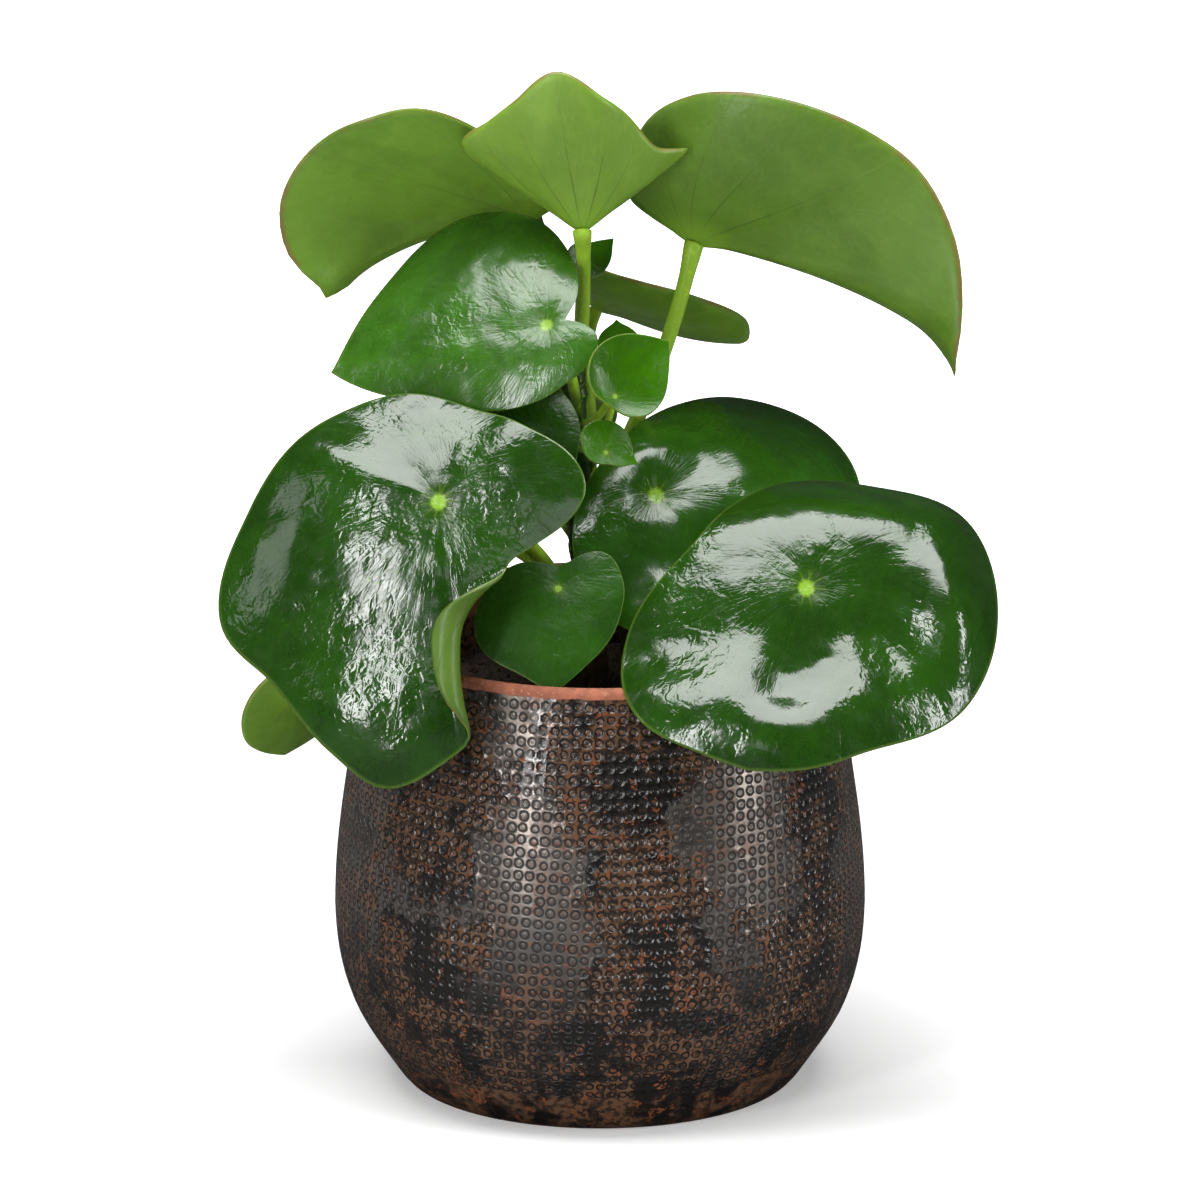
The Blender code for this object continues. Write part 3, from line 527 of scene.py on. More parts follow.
def face_axes(facing, raised):
    """Right, up and outward directions of a blade whose upper face looks to facing, raised above level."""
    out = direction(facing, raised)
    right = np.array([1.0, 0.0, 0.0]) - out[0] * out
    right /= np.linalg.norm(right)
    return right, np.cross(out, right), out


def hermite(t, start, end, leave, arrive):
    """Smooth step from start to end as t goes from 0 to 1, with the given slopes at both."""
    return ((2 * t**3 - 3 * t**2 + 1) * start + (t**3 - 2 * t**2 + t) * leave
            + (-2 * t**3 + 3 * t**2) * end + (t**3 - t**2) * arrive)


def round_curve(knots, values, at):
    """Smooth closed curve over 360 degrees through values at knots, read at the directions in at."""
    order = np.argsort(knots)
    k, v = np.array(knots, float)[order], np.array(values, float)[order]
    kk = np.concatenate([k[-2:] - 360, k, k[:2] + 360])
    vv = np.concatenate([v[-2:], v, v[:2]])
    slope = (vv[2:] - vv[:-2]) / (kk[2:] - kk[:-2])
    x = (at - k[0]) % 360 + k[0]
    i = np.clip(np.searchsorted(kk, x, side="right") - 1, 1, len(kk) - 3)
    h = kk[i + 1] - kk[i]
    return hermite((x - kk[i]) / h, vv[i], vv[i + 1], h * slope[i - 1], h * slope[i])


def blade_surface(leaf, turn, share, walk=36):
    """Points of the upper face in mm, and the reach, at directions turn (degrees) and shares of the reach."""
    right, up, out = face_axes(*leaf["face"])
    tip, tip_reach, tip_width, tip_curl = leaf["tip"]
    knots = [s[0] for s in leaf["spokes"]]
    reach, root, edge = (round_curve(knots, [s[n] for s in leaf["spokes"]], turn) for n in (1, 2, 3))
    off = np.abs((turn - tip + 180) % 360 - 180)
    reach = reach + tip_reach * np.exp(-off / tip_width)
    curl = tip_curl * np.exp(-off / tip_width)
    s = share[:, None] * (np.arange(walk) + 0.5) / walk
    hook = np.clip((s - CURL_FROM) / (1 - CURL_FROM), 0, 1) ** 1.5
    level = 1 - np.exp(-(s * reach[:, None] / leaf.get("level", 0.1)) ** 2)
    slope = root[:, None] * level + (edge - root)[:, None] * s ** 1.6 + curl[:, None] * hook
    slope = np.radians(slope)
    run = np.cos(slope).mean(axis=1) * reach * share
    rise = np.sin(slope).mean(axis=1) * reach * share
    depth, spread = leaf.get("dimple", (1.5, 7))
    rise = rise + depth * (1 - np.exp(-(run / spread) ** 2))
    a = np.radians(turn)
    for place, distance, width, height in leaf.get("swells", ()):
        b = math.radians(place)
        away = np.hypot(run * np.cos(a) - distance * math.cos(b), run * np.sin(a) - distance * math.sin(b))
        rise = rise + height * (np.exp(-(away / width) ** 2) - math.exp(-(distance / width) ** 2))
    x, y = run * np.cos(a), run * np.sin(a)
    if "fold" in leaf:
        near, middle, above, below, bend = leaf["fold"]
        line = near + above * np.maximum(y - middle, 0) ** 3 + below * np.maximum(middle - y, 0) ** 2
        past = np.maximum(x - line, 0) / bend
        x = x - past * bend + bend * np.sin(past)
        rise = rise + bend * (1 - np.cos(past))
    return np.array(leaf["at"]) + x[:, None] * right + y[:, None] * up + rise[:, None] * out, reach


def spin_profile(bm, points, steps, near):
    """Turns a row of points around Z into a closed skin; points closer than near (metres) become one."""
    spoke = [bm.verts.new(point) for point in points]
    edges = [bm.edges.new(pair) for pair in zip(spoke, spoke[1:])]
    bmesh.ops.spin(bm, geom=spoke + edges, cent=(0, 0, 0), axis=(0, 0, 1), angle=2 * math.pi, steps=steps,
                   use_merge=True)
    bmesh.ops.remove_doubles(bm, verts=bm.verts[:], dist=near)
    bmesh.ops.recalc_face_normals(bm, faces=bm.faces[:])


def add_object(name, data):
    """New object in the scene."""
    item = bpy.data.objects.new(name, data)
    bpy.context.scene.collection.objects.link(item)
    return item


def add_piece(name, bm, materials, node, smooth=True):
    """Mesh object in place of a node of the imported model, which rides on the body root."""
    mesh = bpy.data.meshes.new(name)
    for face in bm.faces:
        face.smooth = smooth
    bm.to_mesh(mesh)
    bm.free()
    for made in materials:
        mesh.materials.append(made)
    item = add_object(name, mesh)
    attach(item, "root")
    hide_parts(node)
    return item


def make_blade(leaf, materials, settings, rng):
    """One leaf: a disc spun from a spoke of points, laid on the leaf's surface, then given its thickness."""
    name = leaf["name"]
    small = name in FRESH
    around = settings.around // 3 if small else settings.around
    rings = settings.rings // 2 if small else settings.rings
    aim = MAIN_VEIN.get(name, leaf["tip"][0])
    bm = bmesh.new()
    # rings lie closer together at the petiole and at the margin
    steps = [n / rings for n in range(rings + 1)]
    shares = [0.5 * s + 0.5 * (0.5 - 0.5 * math.cos(math.pi * s)) for s in steps]
    spin_profile(bm, [(s, 0, 0) for s in shares], around, 0.00001)
    flat = np.array([v.co for v in bm.verts])
    share = np.minimum(np.hypot(flat[:, 0], flat[:, 1]), 1.0)
    angle = np.arctan2(flat[:, 1], flat[:, 0])
    turn = np.degrees(angle) + leaf["tip"][0]
    points, reach = blade_surface(leaf, turn, share)
    for vert, point in zip(bm.verts, points):
        vert.co = Vector(point) * MM
    up = Vector(face_axes(*leaf["face"])[2])
    bm.normal_update()
    middle = min(bm.verts, key=lambda v: (v.co - Vector(leaf["at"]) * MM).length)
    if middle.normal.dot(up) < 0:
        bmesh.ops.reverse_faces(bm, faces=bm.faces[:])
        bm.normal_update()
    # main veins lie in shallow grooves, which are deeper in some directions than in others
    bearing = np.radians((turn - aim + 180) % 360 - 180)
    root = bearing * (1 + VEIN_BEND * share)
    off = np.abs((root / VEIN_STEP + 0.5) % 1 - 0.5) * VEIN_STEP
    apart = off * reach * share
    groove = np.exp(-(apart / (0.9 + 1.6 * share)) ** 2) * np.clip(share * 6, 0, 1) * (1 - share) ** 0.6
    groove *= 0.5 + 0.5 * np.sin(bearing * 2.5 + rng.uniform(0, 6.28))
    lift = -groove * settings.vein_depth / MM * (0.35 if small else 1.0)
    normals = [v.normal.copy() for v in bm.verts]
    for vert, normal, height in zip(bm.verts, normals, lift):
        vert.co += normal * float(height) * MM
    # flat map in decimetres with the main vein along +X
    layer = bm.loops.layers.uv.new("blade")
    bm.verts.index_update()
    across = share * reach * 0.01
    for face in bm.faces:
        for loop in face.loops:
            n = loop.vert.index
            loop[layer].uv = (across[n] * math.cos(bearing[n]), across[n] * math.sin(bearing[n]))
    mark = bm.verts.layers.float.new("share")
    for vert, value in zip(bm.verts, share):
        vert[mark] = float(value)
    item = add_piece(f"{name}_blade", bm, materials, name)
    thin = item.vertex_groups.new(name="thickness")
    for index, value in enumerate(share):
        edge = max(0.0, (float(value) - THIN_FROM) / (1 - THIN_FROM))
        thin.add([index], 1.0 - 0.75 * edge ** 2, "REPLACE")
    solid = item.modifiers.new("thickness", "SOLIDIFY")
    solid.thickness = BLADE_THICK * MM
    solid.offset = -1.0
    solid.vertex_group = "thickness"
    solid.material_offset = 1
    solid.material_offset_rim = 2
    solid.use_quality_normals = True
    return item


def stalk_path(spec, leaves, steps=28):
    """Points and radii of a petiole from its stem to just inside the blade, in mm."""
    leaf, _stem, start, bend, last, r0, r1 = spec
    out = Vector(face_axes(*leaves[leaf]["face"])[2])
    under = Vector(leaves[leaf]["at"]) - out * (BLADE_THICK + PETIOLE_GAP)
    start, bend = Vector(start), Vector(bend)
    last = Vector(last) if isinstance(last, tuple) else under - out * last
    points = []
    for n in range(steps + 1):
        t = n / steps
        p = start * (1 - t) ** 3 + bend * 3 * (1 - t) ** 2 * t + last * 3 * (1 - t) * t * t + under * t ** 3
        points.append([p, r0 + (r1 - r0) * t])
    points.append([under + out * PETIOLE_REACH, r1])
    total = sum((b[0] - a[0]).length for a, b in zip(points, points[1:]))
    run = 0.0
    for n, item in enumerate(points):
        if n:
            run += (item[0] - points[n - 1][0]).length
        flare = math.exp(-(run / 3.0) ** 2), math.exp(-((total - run) / (3.0 * r1)) ** 2)
        item[1] *= 1 + 0.35 * flare[0] + 0.35 * flare[1]
    return points


def stem_path(points, scars):
    """Smooth points of a stem with a slight swelling and ring at each height in scars, in mm."""
    rows = np.array(points, float)
    fine = np.linspace(0, len(rows) - 1, (len(rows) - 1) * 14 + 1)
    i = np.clip(fine.astype(int), 0, len(rows) - 2)
    slopes = np.gradient(rows, axis=0)
    smooth = hermite((fine - i)[:, None], rows[i], rows[i + 1], slopes[i], slopes[i + 1])
    path = []
    for x, y, z, r in smooth:
        for scar in scars:
            r += 0.45 * math.exp(-((z - scar) / 2.4) ** 2) - 0.35 * math.exp(-((z - scar - 3.2) / 0.5) ** 2)
        path.append([Vector((x, y, z)), r])
    end, radius = path[-1]
    ahead = (end - path[-2][0]).normalized()
    for n in range(1, 6):
        turn = n / 6 * math.pi / 2
        path.append([end + ahead * radius * math.sin(turn), radius * math.cos(turn)])
    return path


def add_tube(curve, path):
    """Adds a path of points and radii in mm to a bevelled curve."""
    spline = curve.splines.new("POLY")
    spline.points.add(len(path) - 1)
    for point, (place, radius) in zip(spline.points, path):
        point.co = (*(place * MM), 1.0)
        point.radius = max(radius, 0.05)


def stem_material(settings):
    """Fleshy skin: yellow-green petioles, darker stems, a corky brown foot, fine lengthwise lines."""
    made, g, shader, place = new_material("stem_skin")
    _x, _y, height = g.parts(place)
    thick = g.node("ShaderNodeAttribute", attribute_name="girth").outputs["Fac"]
    blush = g.patches(place, 60.0, 0.45, 0.7)
    young = g.mix(blush, shade(settings.young, 0.72), settings.young)
    skin = g.mix(thick, young, settings.old)
    speck = g.patches(place, 700.0, 0.58, 0.66)
    skin = g.mix(g.mul(speck, 0.3), skin, shade(settings.young, 1.5))
    low = g.fade(g.add(height, g.mul(g.noise(place, 60.0), 0.02)), 0.150, 0.185, 0.8, 0.0)
    skin = g.mix(low, skin, settings.foot)
    long = g.node("ShaderNodeMapping", {"Vector": place, "Scale": (1.0, 1.0, 0.12)}).outputs[0]
    lines = g.add(g.noise(long, 1100.0, 2.0), g.mul(g.noise(place, 300.0), 0.5))
    g.fill(shader, {
        "Base Color": skin, "Roughness": g.uneven(place, 200.0, 0.30, 0.42),
        "Normal": g.relief(lines, 0.00012), "IOR": 1.42, "Specular IOR Level": 0.35,
        "Subsurface Weight": 0.25, "Subsurface Scale": 0.004})
    return made


def smooth_profile(points, height):
    """Radius at a height, through the profile's points without corners."""
    h, r = np.array(points, float).T
    slope = np.gradient(r, h)
    i = int(np.clip(np.searchsorted(h, height, side="right") - 1, 0, len(h) - 2))
    step = h[i + 1] - h[i]
    return hermite((height - h[i]) / step, r[i], r[i + 1], step * slope[i], step * slope[i + 1])


def pot_rings(settings):
    """Profile of the pot as (height, radius) in mm, with an even row of points for each row of stamps."""
    def outer(h):
        return smooth_profile(POT_PROFILE, h)
    fine = np.linspace(STAMP_LOW, STAMP_HIGH, 800)
    radii = np.array([outer(h) for h in fine])
    run = np.concatenate([[0], np.cumsum(np.hypot(np.diff(fine), np.diff(radii)))])
    marks = np.interp(np.linspace(0, run[-1], settings.rows + 1), run, fine)
    wall = settings.wall / MM
    foot = [(0, 0), (0, 64.6), (0.35, 66.2), (1.2, 67.3), (3.5, outer(3.5)), (7, outer(7)), (11, outer(11))]
    rim = outer(LIP_HEIGHT)
    half = wall / 2
    lip = [(LIP_HEIGHT + half * math.sin(a), rim - half + half * math.cos(a))
           for a in (math.pi * n / 12 for n in range(1, 12))]
    inside = [(h, outer(h) - wall) for h in (LIP_HEIGHT, 150, 140, 128, 110, 90, 72, 52, 34, 25, 18)]
    floor = [(12.5, outer(14) - wall), (10, outer(12) - wall - 3), (9, outer(12) - wall - 9), (9, 0)]
    return foot, [(h, outer(h)) for h in marks], [(LIP_HEIGHT, rim)] + lip, inside + floor


def stamp_dots(bm, cells, settings, rng):
    """Presses a ring with a raised middle into each cell face: the face is inset twice and poked."""
    bmesh.ops.inset_individual(bm, faces=cells, thickness=0.0004, use_even_offset=True)
    edges = list({edge for face in cells for edge in face.edges})
    bmesh.ops.subdivide_edges(bm, edges=edges, cuts=1, use_grid_fill=False, use_single_edge=False)
    bm.normal_update()
    plan = []
    for face in cells:
        middle = face.calc_center_median()
        out = face.normal.copy()
        side = Vector((-out.y, out.x, 0)).normalized()
        up = out.cross(side)
        girth = math.hypot(middle.x, middle.y)
        soft = 0.5 + 0.5 * math.sin(middle.z * 61 + math.atan2(middle.y, middle.x) * 5)
        size = settings.dot * rng.uniform(0.86, 1.10) * min(1.0, girth / 0.084)
        depth = settings.depth * rng.uniform(0.55, 1.25) * (0.75 + 0.25 * soft)
        middle = middle + side * rng.uniform(-1, 1) * JITTER + up * rng.uniform(-1, 1) * JITTER
        plan.append((face, (middle, out, side, up, rng.uniform(0.85, 1.15), girth), size, depth))

    def ring(face, spot, radius, drop):
        middle, out, side, up, squash, girth = spot
        for vert in face.verts:
            away = vert.co - middle
            turn = math.atan2(away.dot(up), away.dot(side))
            across, along = radius * squash * math.cos(turn), radius / squash * math.sin(turn)
            curve = across * across / (2 * girth)
            vert.co = middle + side * across + up * along - out * (curve + drop)

    for face, spot, size, _depth in plan:
        ring(face, spot, size, 0.0)
    bmesh.ops.inset_individual(bm, faces=cells, thickness=0.0003, use_even_offset=True)
    for face, spot, size, depth in plan:
        ring(face, spot, size * 0.70, depth)
    middles = [face.calc_center_median() for face in cells]
    centres = bmesh.ops.poke(bm, faces=cells)["verts"]
    for vert, middle, (_face, spot, _size, depth) in zip(centres, middles, plan):
        vert.co = middle + spot[1] * depth * rng.uniform(0.6, 0.9)
    return [(spot[0], spot[2], spot[3], size) for _face, spot, size, _depth in plan]


def glaze_material(settings):
    """Dark metallic glaze in black, bronze and rust over clay, which stays bare at the lip, with painted
    shade in the grooves of the stamps.
    """
    made, g, shader, place = new_material("stamped_glaze")
    x, y, height = g.parts(place)
    stamp = g.node("ShaderNodeVectorMath", {0: g.node("ShaderNodeUVMap", uv_map="stamp").outputs[0]},
                   operation="LENGTH").outputs["Value"]
    stamp = g.add(stamp, g.mul(g.sub(g.noise(place, 500.0), 0.5), 0.4))
    groove = g.fade(g.math("ABSOLUTE", g.sub(stamp, 0.88)), 0.12, 0.36, 1.0, 0.0)
    centre = g.fade(stamp, 0.15, 0.4, 1.0, 0.0)
    # smooth columns alternate with crusty ones around the pot
    turn = g.math("ARCTAN2", x, g.mul(y, -1.0))
    column = g.math("COSINE", g.mul(g.add(turn, COLUMN_TURN), SMOOTH_COLUMNS))
    cloud = g.sub(g.noise(place, 30.0, 4.0, 0.6), g.mul(column, 0.11))
    crusty = g.fade(cloud, 0.41, 0.54)
    # the smooth glaze has narrow grooves, the crusty one hollow cups that glint
    cup = g.mul(g.math("POWER", g.math("MINIMUM", stamp, 1.0), 2.0), crusty)
    cut = g.sub(g.mul(centre, 0.5), g.mul(groove, g.flip(crusty, 0.4)))
    pressed = g.relief(g.add(cut, cup), 0.00040)
    bronze = g.patches(place, 60.0, 0.44, 0.53)
    rust = g.patches(place, 170.0, 0.57, 0.61)
    chips = g.patches(place, 420.0, 0.48, 0.54)
    glaze = g.mix(g.mul(bronze, g.flip(chips, 0.25)), settings.dark, settings.bronze)
    glaze = g.mix(g.mul(rust, g.fade(g.noise(place, 800.0), 0.45, 0.55)), glaze, settings.rust)
    # painted shade: the grooves of the stamps take the darkest glaze colour
    glaze = g.mix(groove, glaze, settings.dark)
    # the clay band at the lip, with the glaze ending in a ragged line, and the bare inside
    girth = g.length(x, y)
    ragged = g.add(height, g.mul(g.noise(place, 130.0, 4.0, 0.7), 0.0022))
    bare = g.fade(ragged, GLAZE_END, GLAZE_END + 0.0003)
    wall = g.fade(g.sub(girth, 0.0752), -0.0002, 0.0004, 1.0, 0.0)
    inner = g.mul(wall, g.fade(height, 0.08, 0.10))
    bare = g.math("MAXIMUM", bare, inner)
    under = g.math("MAXIMUM", bare, g.fade(height, 0.0002, 0.0006, 1.0, 0.0))
    clay = g.mix(g.patches(place, 180.0, 0.4, 0.66), shade(settings.clay, 0.68), settings.clay)
    clay = g.mix(g.mul(g.patches(place, 900.0, 0.6, 0.68), 0.5), clay, (0.62, 0.36, 0.25, 1))
    glazed = g.sub(1.0, under)
    metal = g.mul(g.flip(crusty, 0.0), glazed)
    metal = g.mul(metal, g.fade(g.add(height, g.mul(cloud, 0.03)), 0.055, 0.115))
    metal = g.mul(metal, g.flip(bronze, 0.3))
    metal = g.mul(metal, g.flip(g.math("MAXIMUM", groove, rust), 0.1))
    skin = g.mix(under, g.mix(g.mul(metal, 0.85), glaze, settings.pewter), clay)
    smooth = g.mix(g.noise(place, 240.0, 3.0), grey(0.25), grey(0.36))
    rough = g.mix(under, g.mix(crusty, smooth, grey(0.15)), grey(0.85))
    rough = g.mix(g.mul(groove, g.flip(crusty, 0.2)), rough, grey(0.7))
    grain = g.mul(g.noise(place, 420.0, 2.0, 0.5, 1.0), g.fade(crusty, 0.0, 1.0, 0.08, 0.3))
    g.fill(shader, {
        "Base Color": skin, "Roughness": rough, "Normal": g.relief(grain, 0.00055, pressed), "IOR": 1.65,
        "Metallic": metal, "Coat Weight": g.mul(g.mul(crusty, 0.3), glazed), "Coat Roughness": 0.06})
    return made


def soil_material(settings):
    """Dull dark soil with paler fibres and crumbs."""
    made, g, shader, place = new_material("potting_soil")
    tone = g.node("ShaderNodeAttribute", attribute_name="tone").outputs["Fac"]
    skin = g.mix(g.patches(place, 260.0, 0.4, 0.66), settings.dark, shade(settings.dark, 2.2))
    skin = g.mix(g.mul(g.patches(place, 1200.0, 0.55, 0.68), 0.6), skin, settings.light)
    skin = g.mix(tone, skin, settings.light)
    height = g.add(g.noise(place, 900.0, 4.0, 0.7), g.mul(g.cells(place, 420.0), 0.8))
    g.fill(shader, {"Base Color": skin, "Roughness": 0.95, "Normal": g.relief(height, 0.0012)})
    return made


class PEPEROMIA_OT_pot(bpy.types.Operator):
    """Clay pot with rows of stamped rings, a smooth foot band and a rounded bare lip"""
    bl_idname = "peperomia.pot"
    bl_label = "Stamped Pot"

    def execute(self, context):
        settings = context.scene.peperomia_pot
        rng = random.Random(4)
        foot, marks, lip, inside = pot_rings(settings)
        profile = foot + marks + lip + inside
        bm = bmesh.new()
        number = bm.faces.layers.int.new("cell")
        spin_profile(bm, [(r * MM, 0, h * MM) for h, r in profile], settings.columns, 0.000005)
        low, high = STAMP_LOW * MM, STAMP_HIGH * MM
        # columns of stamps lean a little, and rows wave a little
        for vert in bm.verts:
            girth = math.hypot(vert.co.x, vert.co.y)
            if girth > 0.03:
                angle = math.atan2(vert.co.y, vert.co.x)
                share = min(max((vert.co.z - low) / (high - low), 0), 1)
                vert.co = Matrix.Rotation(TWIST * share, 3, "Z") @ vert.co
                skin = smooth_profile(POT_PROFILE, vert.co.z / MM) * MM
                if girth > skin - 0.002 and 0 < share < 1:
                    sway = min(share, 1 - share) * 8
                    vert.co.z += SWAY * min(sway, 1) * math.sin(angle * 4 + share * 9)
        bm.normal_update()
        cells = []
        for face in bm.faces:
            middle = face.calc_center_median()
            outward = face.normal.x * middle.x + face.normal.y * middle.y
            if low < middle.z < high and outward > 0 and len(face.verts) == 4:
                cells.append(face)
        for count, face in enumerate(cells):
            face[number] = count + 1
        plan = stamp_dots(bm, cells, settings, rng)
        # flat map of each stamp: 1 at its rim, far beyond 1 where there is none
        layer = bm.loops.layers.uv.new("stamp")
        for face in bm.faces:
            for loop in face.loops:
                if face[number]:
                    middle, side, up, size = plan[face[number] - 1]
                    away = loop.vert.co - middle
                    loop[layer].uv = (away.dot(side) / size, away.dot(up) / size)
                else:
                    loop[layer].uv = (9.0, 9.0)
        add_piece("pot_body", bm, [glaze_material(settings)], "pot")
        return {"FINISHED"}


class PEPEROMIA_OT_soil(bpy.types.Operator):
    """Uneven potting soil with loose crumbs"""
    bl_idname = "peperomia.soil"
    bl_label = "Soil"

    def execute(self, context):
        settings = context.scene.peperomia_soil
        rng = random.Random(11)
        edge = smooth_profile(POT_PROFILE, SOIL_EDGE) - POT_WALL - SOIL_GAP
        profile = [(9.3, 0), (9.3, 60), (60, smooth_profile(POT_PROFILE, 60) - 6), (126, edge), (129.4, edge)]
        shares = [n / 28 for n in range(27, -1, -1)]
        profile += [(SOIL_EDGE + SOIL_RISE * (1 - s ** 2), s * (edge - 0.6)) for s in shares]
        bm = bmesh.new()
        spin_profile(bm, [(r * MM, 0, h * MM) for h, r in profile], 120, 0.00001)
        tone = bm.verts.layers.float.new("tone")
        for vert in bm.verts:
            if vert.co.z > (SOIL_EDGE - 0.2) * MM:
                x, y = vert.co.x / MM, vert.co.y / MM
                wave = 0.0007 * math.sin(x * 0.31 + math.cos(y * 0.23) * 2)
                vert.co.z += wave + rng.uniform(-1, 1) * 0.0006
        for _ in range(settings.crumbs):
            spread = math.sqrt(rng.random()) * 72
            turn = rng.uniform(0, 2 * math.pi)
            radius = rng.uniform(0.5, 1.9) * rng.uniform(0.6, 1.0)
            top = SOIL_EDGE + SOIL_RISE * (1 - (spread / edge) ** 2)
            place = Matrix.Translation(Vector((spread * math.cos(turn), spread * math.sin(turn), top)) * MM)
            spin = Matrix.Rotation(rng.uniform(0, 6.28), 4, Vector((rng.random(), rng.random(), 0.5)))
            sides = rng.uniform(0.6, 1.5), rng.uniform(0.6, 1.2), rng.uniform(0.4, 0.9)
            crumb = bmesh.ops.create_icosphere(bm, subdivisions=1, radius=radius * MM,
                                               matrix=place @ spin @ Matrix.Diagonal((*sides, 1.0)))
            pale = rng.random() ** 4
            for vert in crumb["verts"]:
                vert[tone] = pale
        add_piece("soil_bed", bm, [soil_material(settings)], "soil", smooth=False)
        return {"FINISHED"}


class PEPEROMIA_OT_stems(bpy.types.Operator):
    """The three stems with their leaf scars and petioles"""
    bl_idname = "peperomia.stems"
    bl_label = "Stems"

    def execute(self, context):
        skin = stem_material(context.scene.peperomia_stem)
        leaves = {leaf["name"]: leaf for leaf in LEAVES}
        for name, points in STEMS.items():
            curve = bpy.data.curves.new(name, "CURVE")
            curve.dimensions = "3D"
            curve.bevel_depth = MM
            curve.bevel_resolution = 6
            curve.use_fill_caps = True
            mine = [spec for spec in PETIOLES if spec[1] == name]
            stem = stem_path(points, [spec[2][2] for spec in mine])
            add_tube(curve, stem)
            for spec in mine:
                add_tube(curve, stalk_path(spec, leaves))
            holder = add_object(name, curve)
            shown = holder.evaluated_get(context.evaluated_depsgraph_get())
            mesh = bpy.data.meshes.new_from_object(shown)
            bpy.data.objects.remove(holder, do_unlink=True)
            bm = bmesh.new()
            bm.from_mesh(mesh)
            bpy.data.meshes.remove(mesh)
            bmesh.ops.remove_doubles(bm, verts=bm.verts[:], dist=0.000001)
            bmesh.ops.recalc_face_normals(bm, faces=bm.faces[:])
            girth = bm.verts.layers.float.new("girth")
            centres = np.array([p[:] for p, r in stem]) * MM
            radii = np.array([r for p, r in stem]) * MM
            for vert in bm.verts:
                gap = np.linalg.norm(centres - np.array(vert.co), axis=1) - radii * 1.25
                vert[girth] = float(np.clip(1.0 - gap.min() / 0.004, 0, 1))
            add_piece(f"{name}_skin", bm, [skin], name)
        return {"FINISHED"}


class PEPEROMIA_OT_leaves(bpy.types.Operator):
    """All leaf blades"""
    bl_idname = "peperomia.leaves"
    bl_label = "Leaves"

    def execute(self, context):
        settings = context.scene.peperomia_leaf
        rng = random.Random(7)
        margin = margin_material(settings)
        tops = {}
        for finish, key, times, spot, rough, shine, names in UPPER_FINISHES:
            # a share above 1 lightens the colour: painted light on leaves in the shade of others
            colour = shade(getattr(settings, key), times)
            top = upper_material(f"leaf_upper_{finish}", colour, settings, spot, rough, shine)
            tops.update(dict.fromkeys(names, top))
        under = under_material("leaf_under", settings.under, settings, 0.45)
        # darker copies of the lower face: painted shade, by the shares in SHADED_BACKS
        backs = {name: under_material("under_" + name, shade(settings.under, share), settings, 0.45)
                 for name, share in SHADED_BACKS.items()}
        # brighter copy of the lower face: paler young colour, with painted light for the light shining
        # through the blade
        bright = under_material("leaf_under_bright", shade(settings.under, (1.25, 1.15, 1.2)), settings, 0.7)
        backs.update(dict.fromkeys(YOUNG_AND_BACKLIT, bright))
        for leaf in LEAVES:
            name = leaf["name"]
            materials = [tops.get(name, tops["others"]), backs.get(name, under), margin]
            make_blade(leaf, materials, settings, rng)
        return {"FINISHED"}


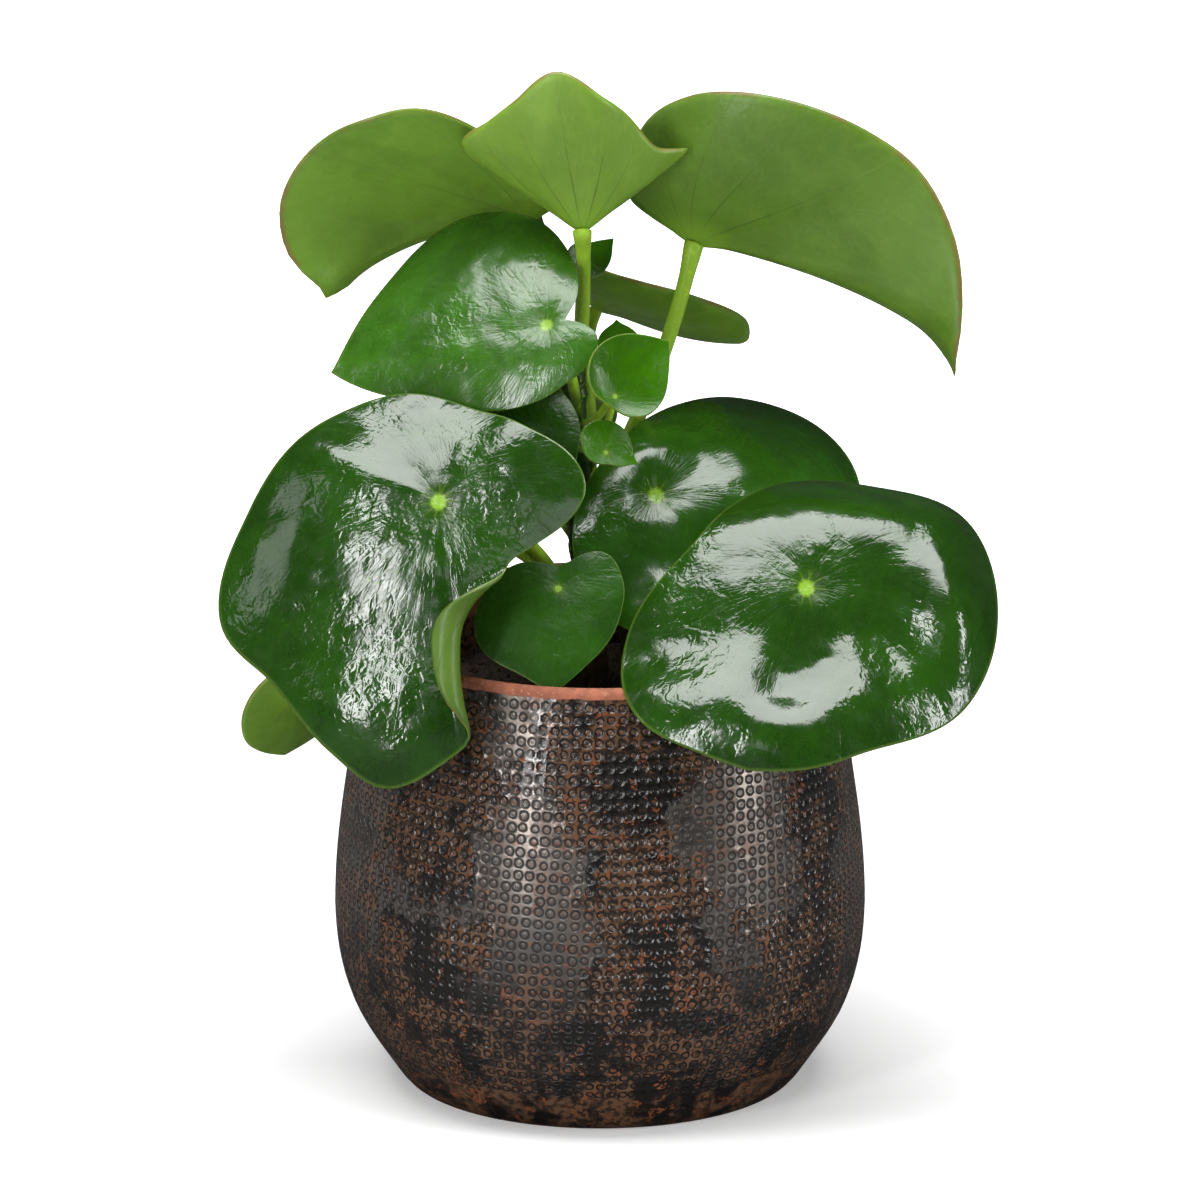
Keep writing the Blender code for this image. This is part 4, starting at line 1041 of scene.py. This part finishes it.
class PEPEROMIA_OT_stage(bpy.types.Operator):
    """Pale floor, soft studio lights and the camera"""
    bl_idname = "peperomia.stage"
    bl_label = "Stage"

    def execute(self, context):
        settings = context.scene.peperomia_stage
        scene = context.scene
        bm = bmesh.new()
        bmesh.ops.create_grid(bm, x_segments=8, y_segments=8, size=6.0)
        mesh = bpy.data.meshes.new("floor")
        bm.to_mesh(mesh)
        bm.free()
        made, g, shader, place = new_material("floor_white")
        away = g.node("ShaderNodeVectorMath", {0: place}, operation="LENGTH").outputs["Value"]
        seen = g.node("ShaderNodeLightPath").outputs["Is Camera Ray"]
        glow = g.mul(g.fade(away, 0.25, 0.9, 0.0, 1.0), seen)
        # painted dark reflection: glossy rays see the floor at only 7 % of its colour
        mirrored = g.node("ShaderNodeLightPath").outputs["Is Glossy Ray"]
        tone = g.mix(mirrored, settings.floor, shade(settings.floor, 0.07))
        g.fill(shader, {"Base Color": tone, "Roughness": 0.7, "Emission Color": (1, 1, 1, 1),
                        "Emission Strength": g.add(g.mul(seen, 0.26), glow)})
        mesh.materials.append(made)
        floor = add_object("floor", mesh)

        aim = Vector((0, 0, settings.middle))
        back = Vector(direction(0, math.degrees(settings.elevation)))
        camera = bpy.data.cameras.new("camera")
        camera.lens = camera.sensor_width * settings.distance / settings.field
        camera.clip_end = 100
        eye = add_object("camera", camera)
        eye.location = aim + back * settings.distance
        eye.rotation_euler = (math.pi / 2 - settings.elevation, 0, 0)
        scene.camera = eye

        # name, direction from the plant (azimuth from the front, elevation), distance, width, height, power
        for name, azimuth, height, far, wide, tall, bright in (
                ("light_top", -24, 81, 1.5, 1.7, 1.05, 9.0),
                ("light_left", -31, 14, 1.7, 0.18, 1.2, 19.0),
                ("light_right", 68, 14, 1.7, 0.22, 1.2, 15.0),
                ("light_side", -72, 18, 1.9, 0.5, 0.9, 2.2),
                ("light_front", -8, 18, 1.8, 0.45, 0.5, 1.5)):
            lamp = bpy.data.lights.new(name, "AREA")
            lamp.shape = "RECTANGLE"
            lamp.size, lamp.size_y = wide, tall
            lamp.energy = bright * math.pi * wide * tall
            holder = add_object(name, lamp)
            way = Vector(direction(azimuth, height))
            holder.location = aim + Vector((0, 0, 0.04)) + way * far
            holder.rotation_euler = way.to_track_quat("Z", "Y").to_euler()
            if name == "light_top":
                holder.rotation_euler = (0, 0, 0)

        world = bpy.data.worlds.new("studio")
        world.use_nodes = True
        sky = Graph(world.node_tree)
        seen = sky.node("ShaderNodeLightPath").outputs["Is Camera Ray"]
        sky.fill(world.node_tree.nodes["Background"], {
            "Color": (1, 1, 1, 1), "Strength": sky.math("MAXIMUM", seen, 0.05)})
        scene.world = world
        scene.view_settings.view_transform = "Standard"
        return {"FINISHED"}


class PEPEROMIA_PT_panel(bpy.types.Panel):
    bl_label = "Potted Peperomia"
    bl_space_type = "VIEW_3D"
    bl_region_type = "UI"
    bl_category = "Peperomia"

    def draw(self, context):
        for label, owner, operator in PARTS:
            box = self.layout.box()
            settings = getattr(context.scene, owner)
            for key in settings.bl_rna.properties.keys():
                if key not in ("rna_type", "name"):
                    box.prop(settings, key)
            box.operator(operator, text=label)


PARTS = (
    ("Pot", "peperomia_pot", "peperomia.pot"),
    ("Soil", "peperomia_soil", "peperomia.soil"),
    ("Stems", "peperomia_stem", "peperomia.stems"),
    ("Leaves", "peperomia_leaf", "peperomia.leaves"),
    ("Stage", "peperomia_stage", "peperomia.stage"),
)
GROUPS = dict(peperomia_pot=PotSettings, peperomia_soil=SoilSettings, peperomia_stem=StemSettings,
              peperomia_leaf=LeafSettings, peperomia_stage=StageSettings)
CLASSES = (*GROUPS.values(), PEPEROMIA_OT_pot, PEPEROMIA_OT_soil, PEPEROMIA_OT_stems,
           PEPEROMIA_OT_leaves, PEPEROMIA_OT_stage, PEPEROMIA_PT_panel)


def register():
    for item in CLASSES:
        bpy.utils.register_class(item)
    for owner, group in GROUPS.items():
        setattr(bpy.types.Scene, owner, PointerProperty(type=group))


def unregister():
    for owner in GROUPS:
        delattr(bpy.types.Scene, owner)
    for item in reversed(CLASSES):
        bpy.utils.unregister_class(item)


def main():
    register()
    bpy.ops.peperomia.stage()
    bpy.ops.peperomia.pot()
    bpy.ops.peperomia.soil()
    bpy.ops.peperomia.stems()
    bpy.ops.peperomia.leaves()
    bpy.context.view_layer.update()


if __name__ == "__main__":
    main()
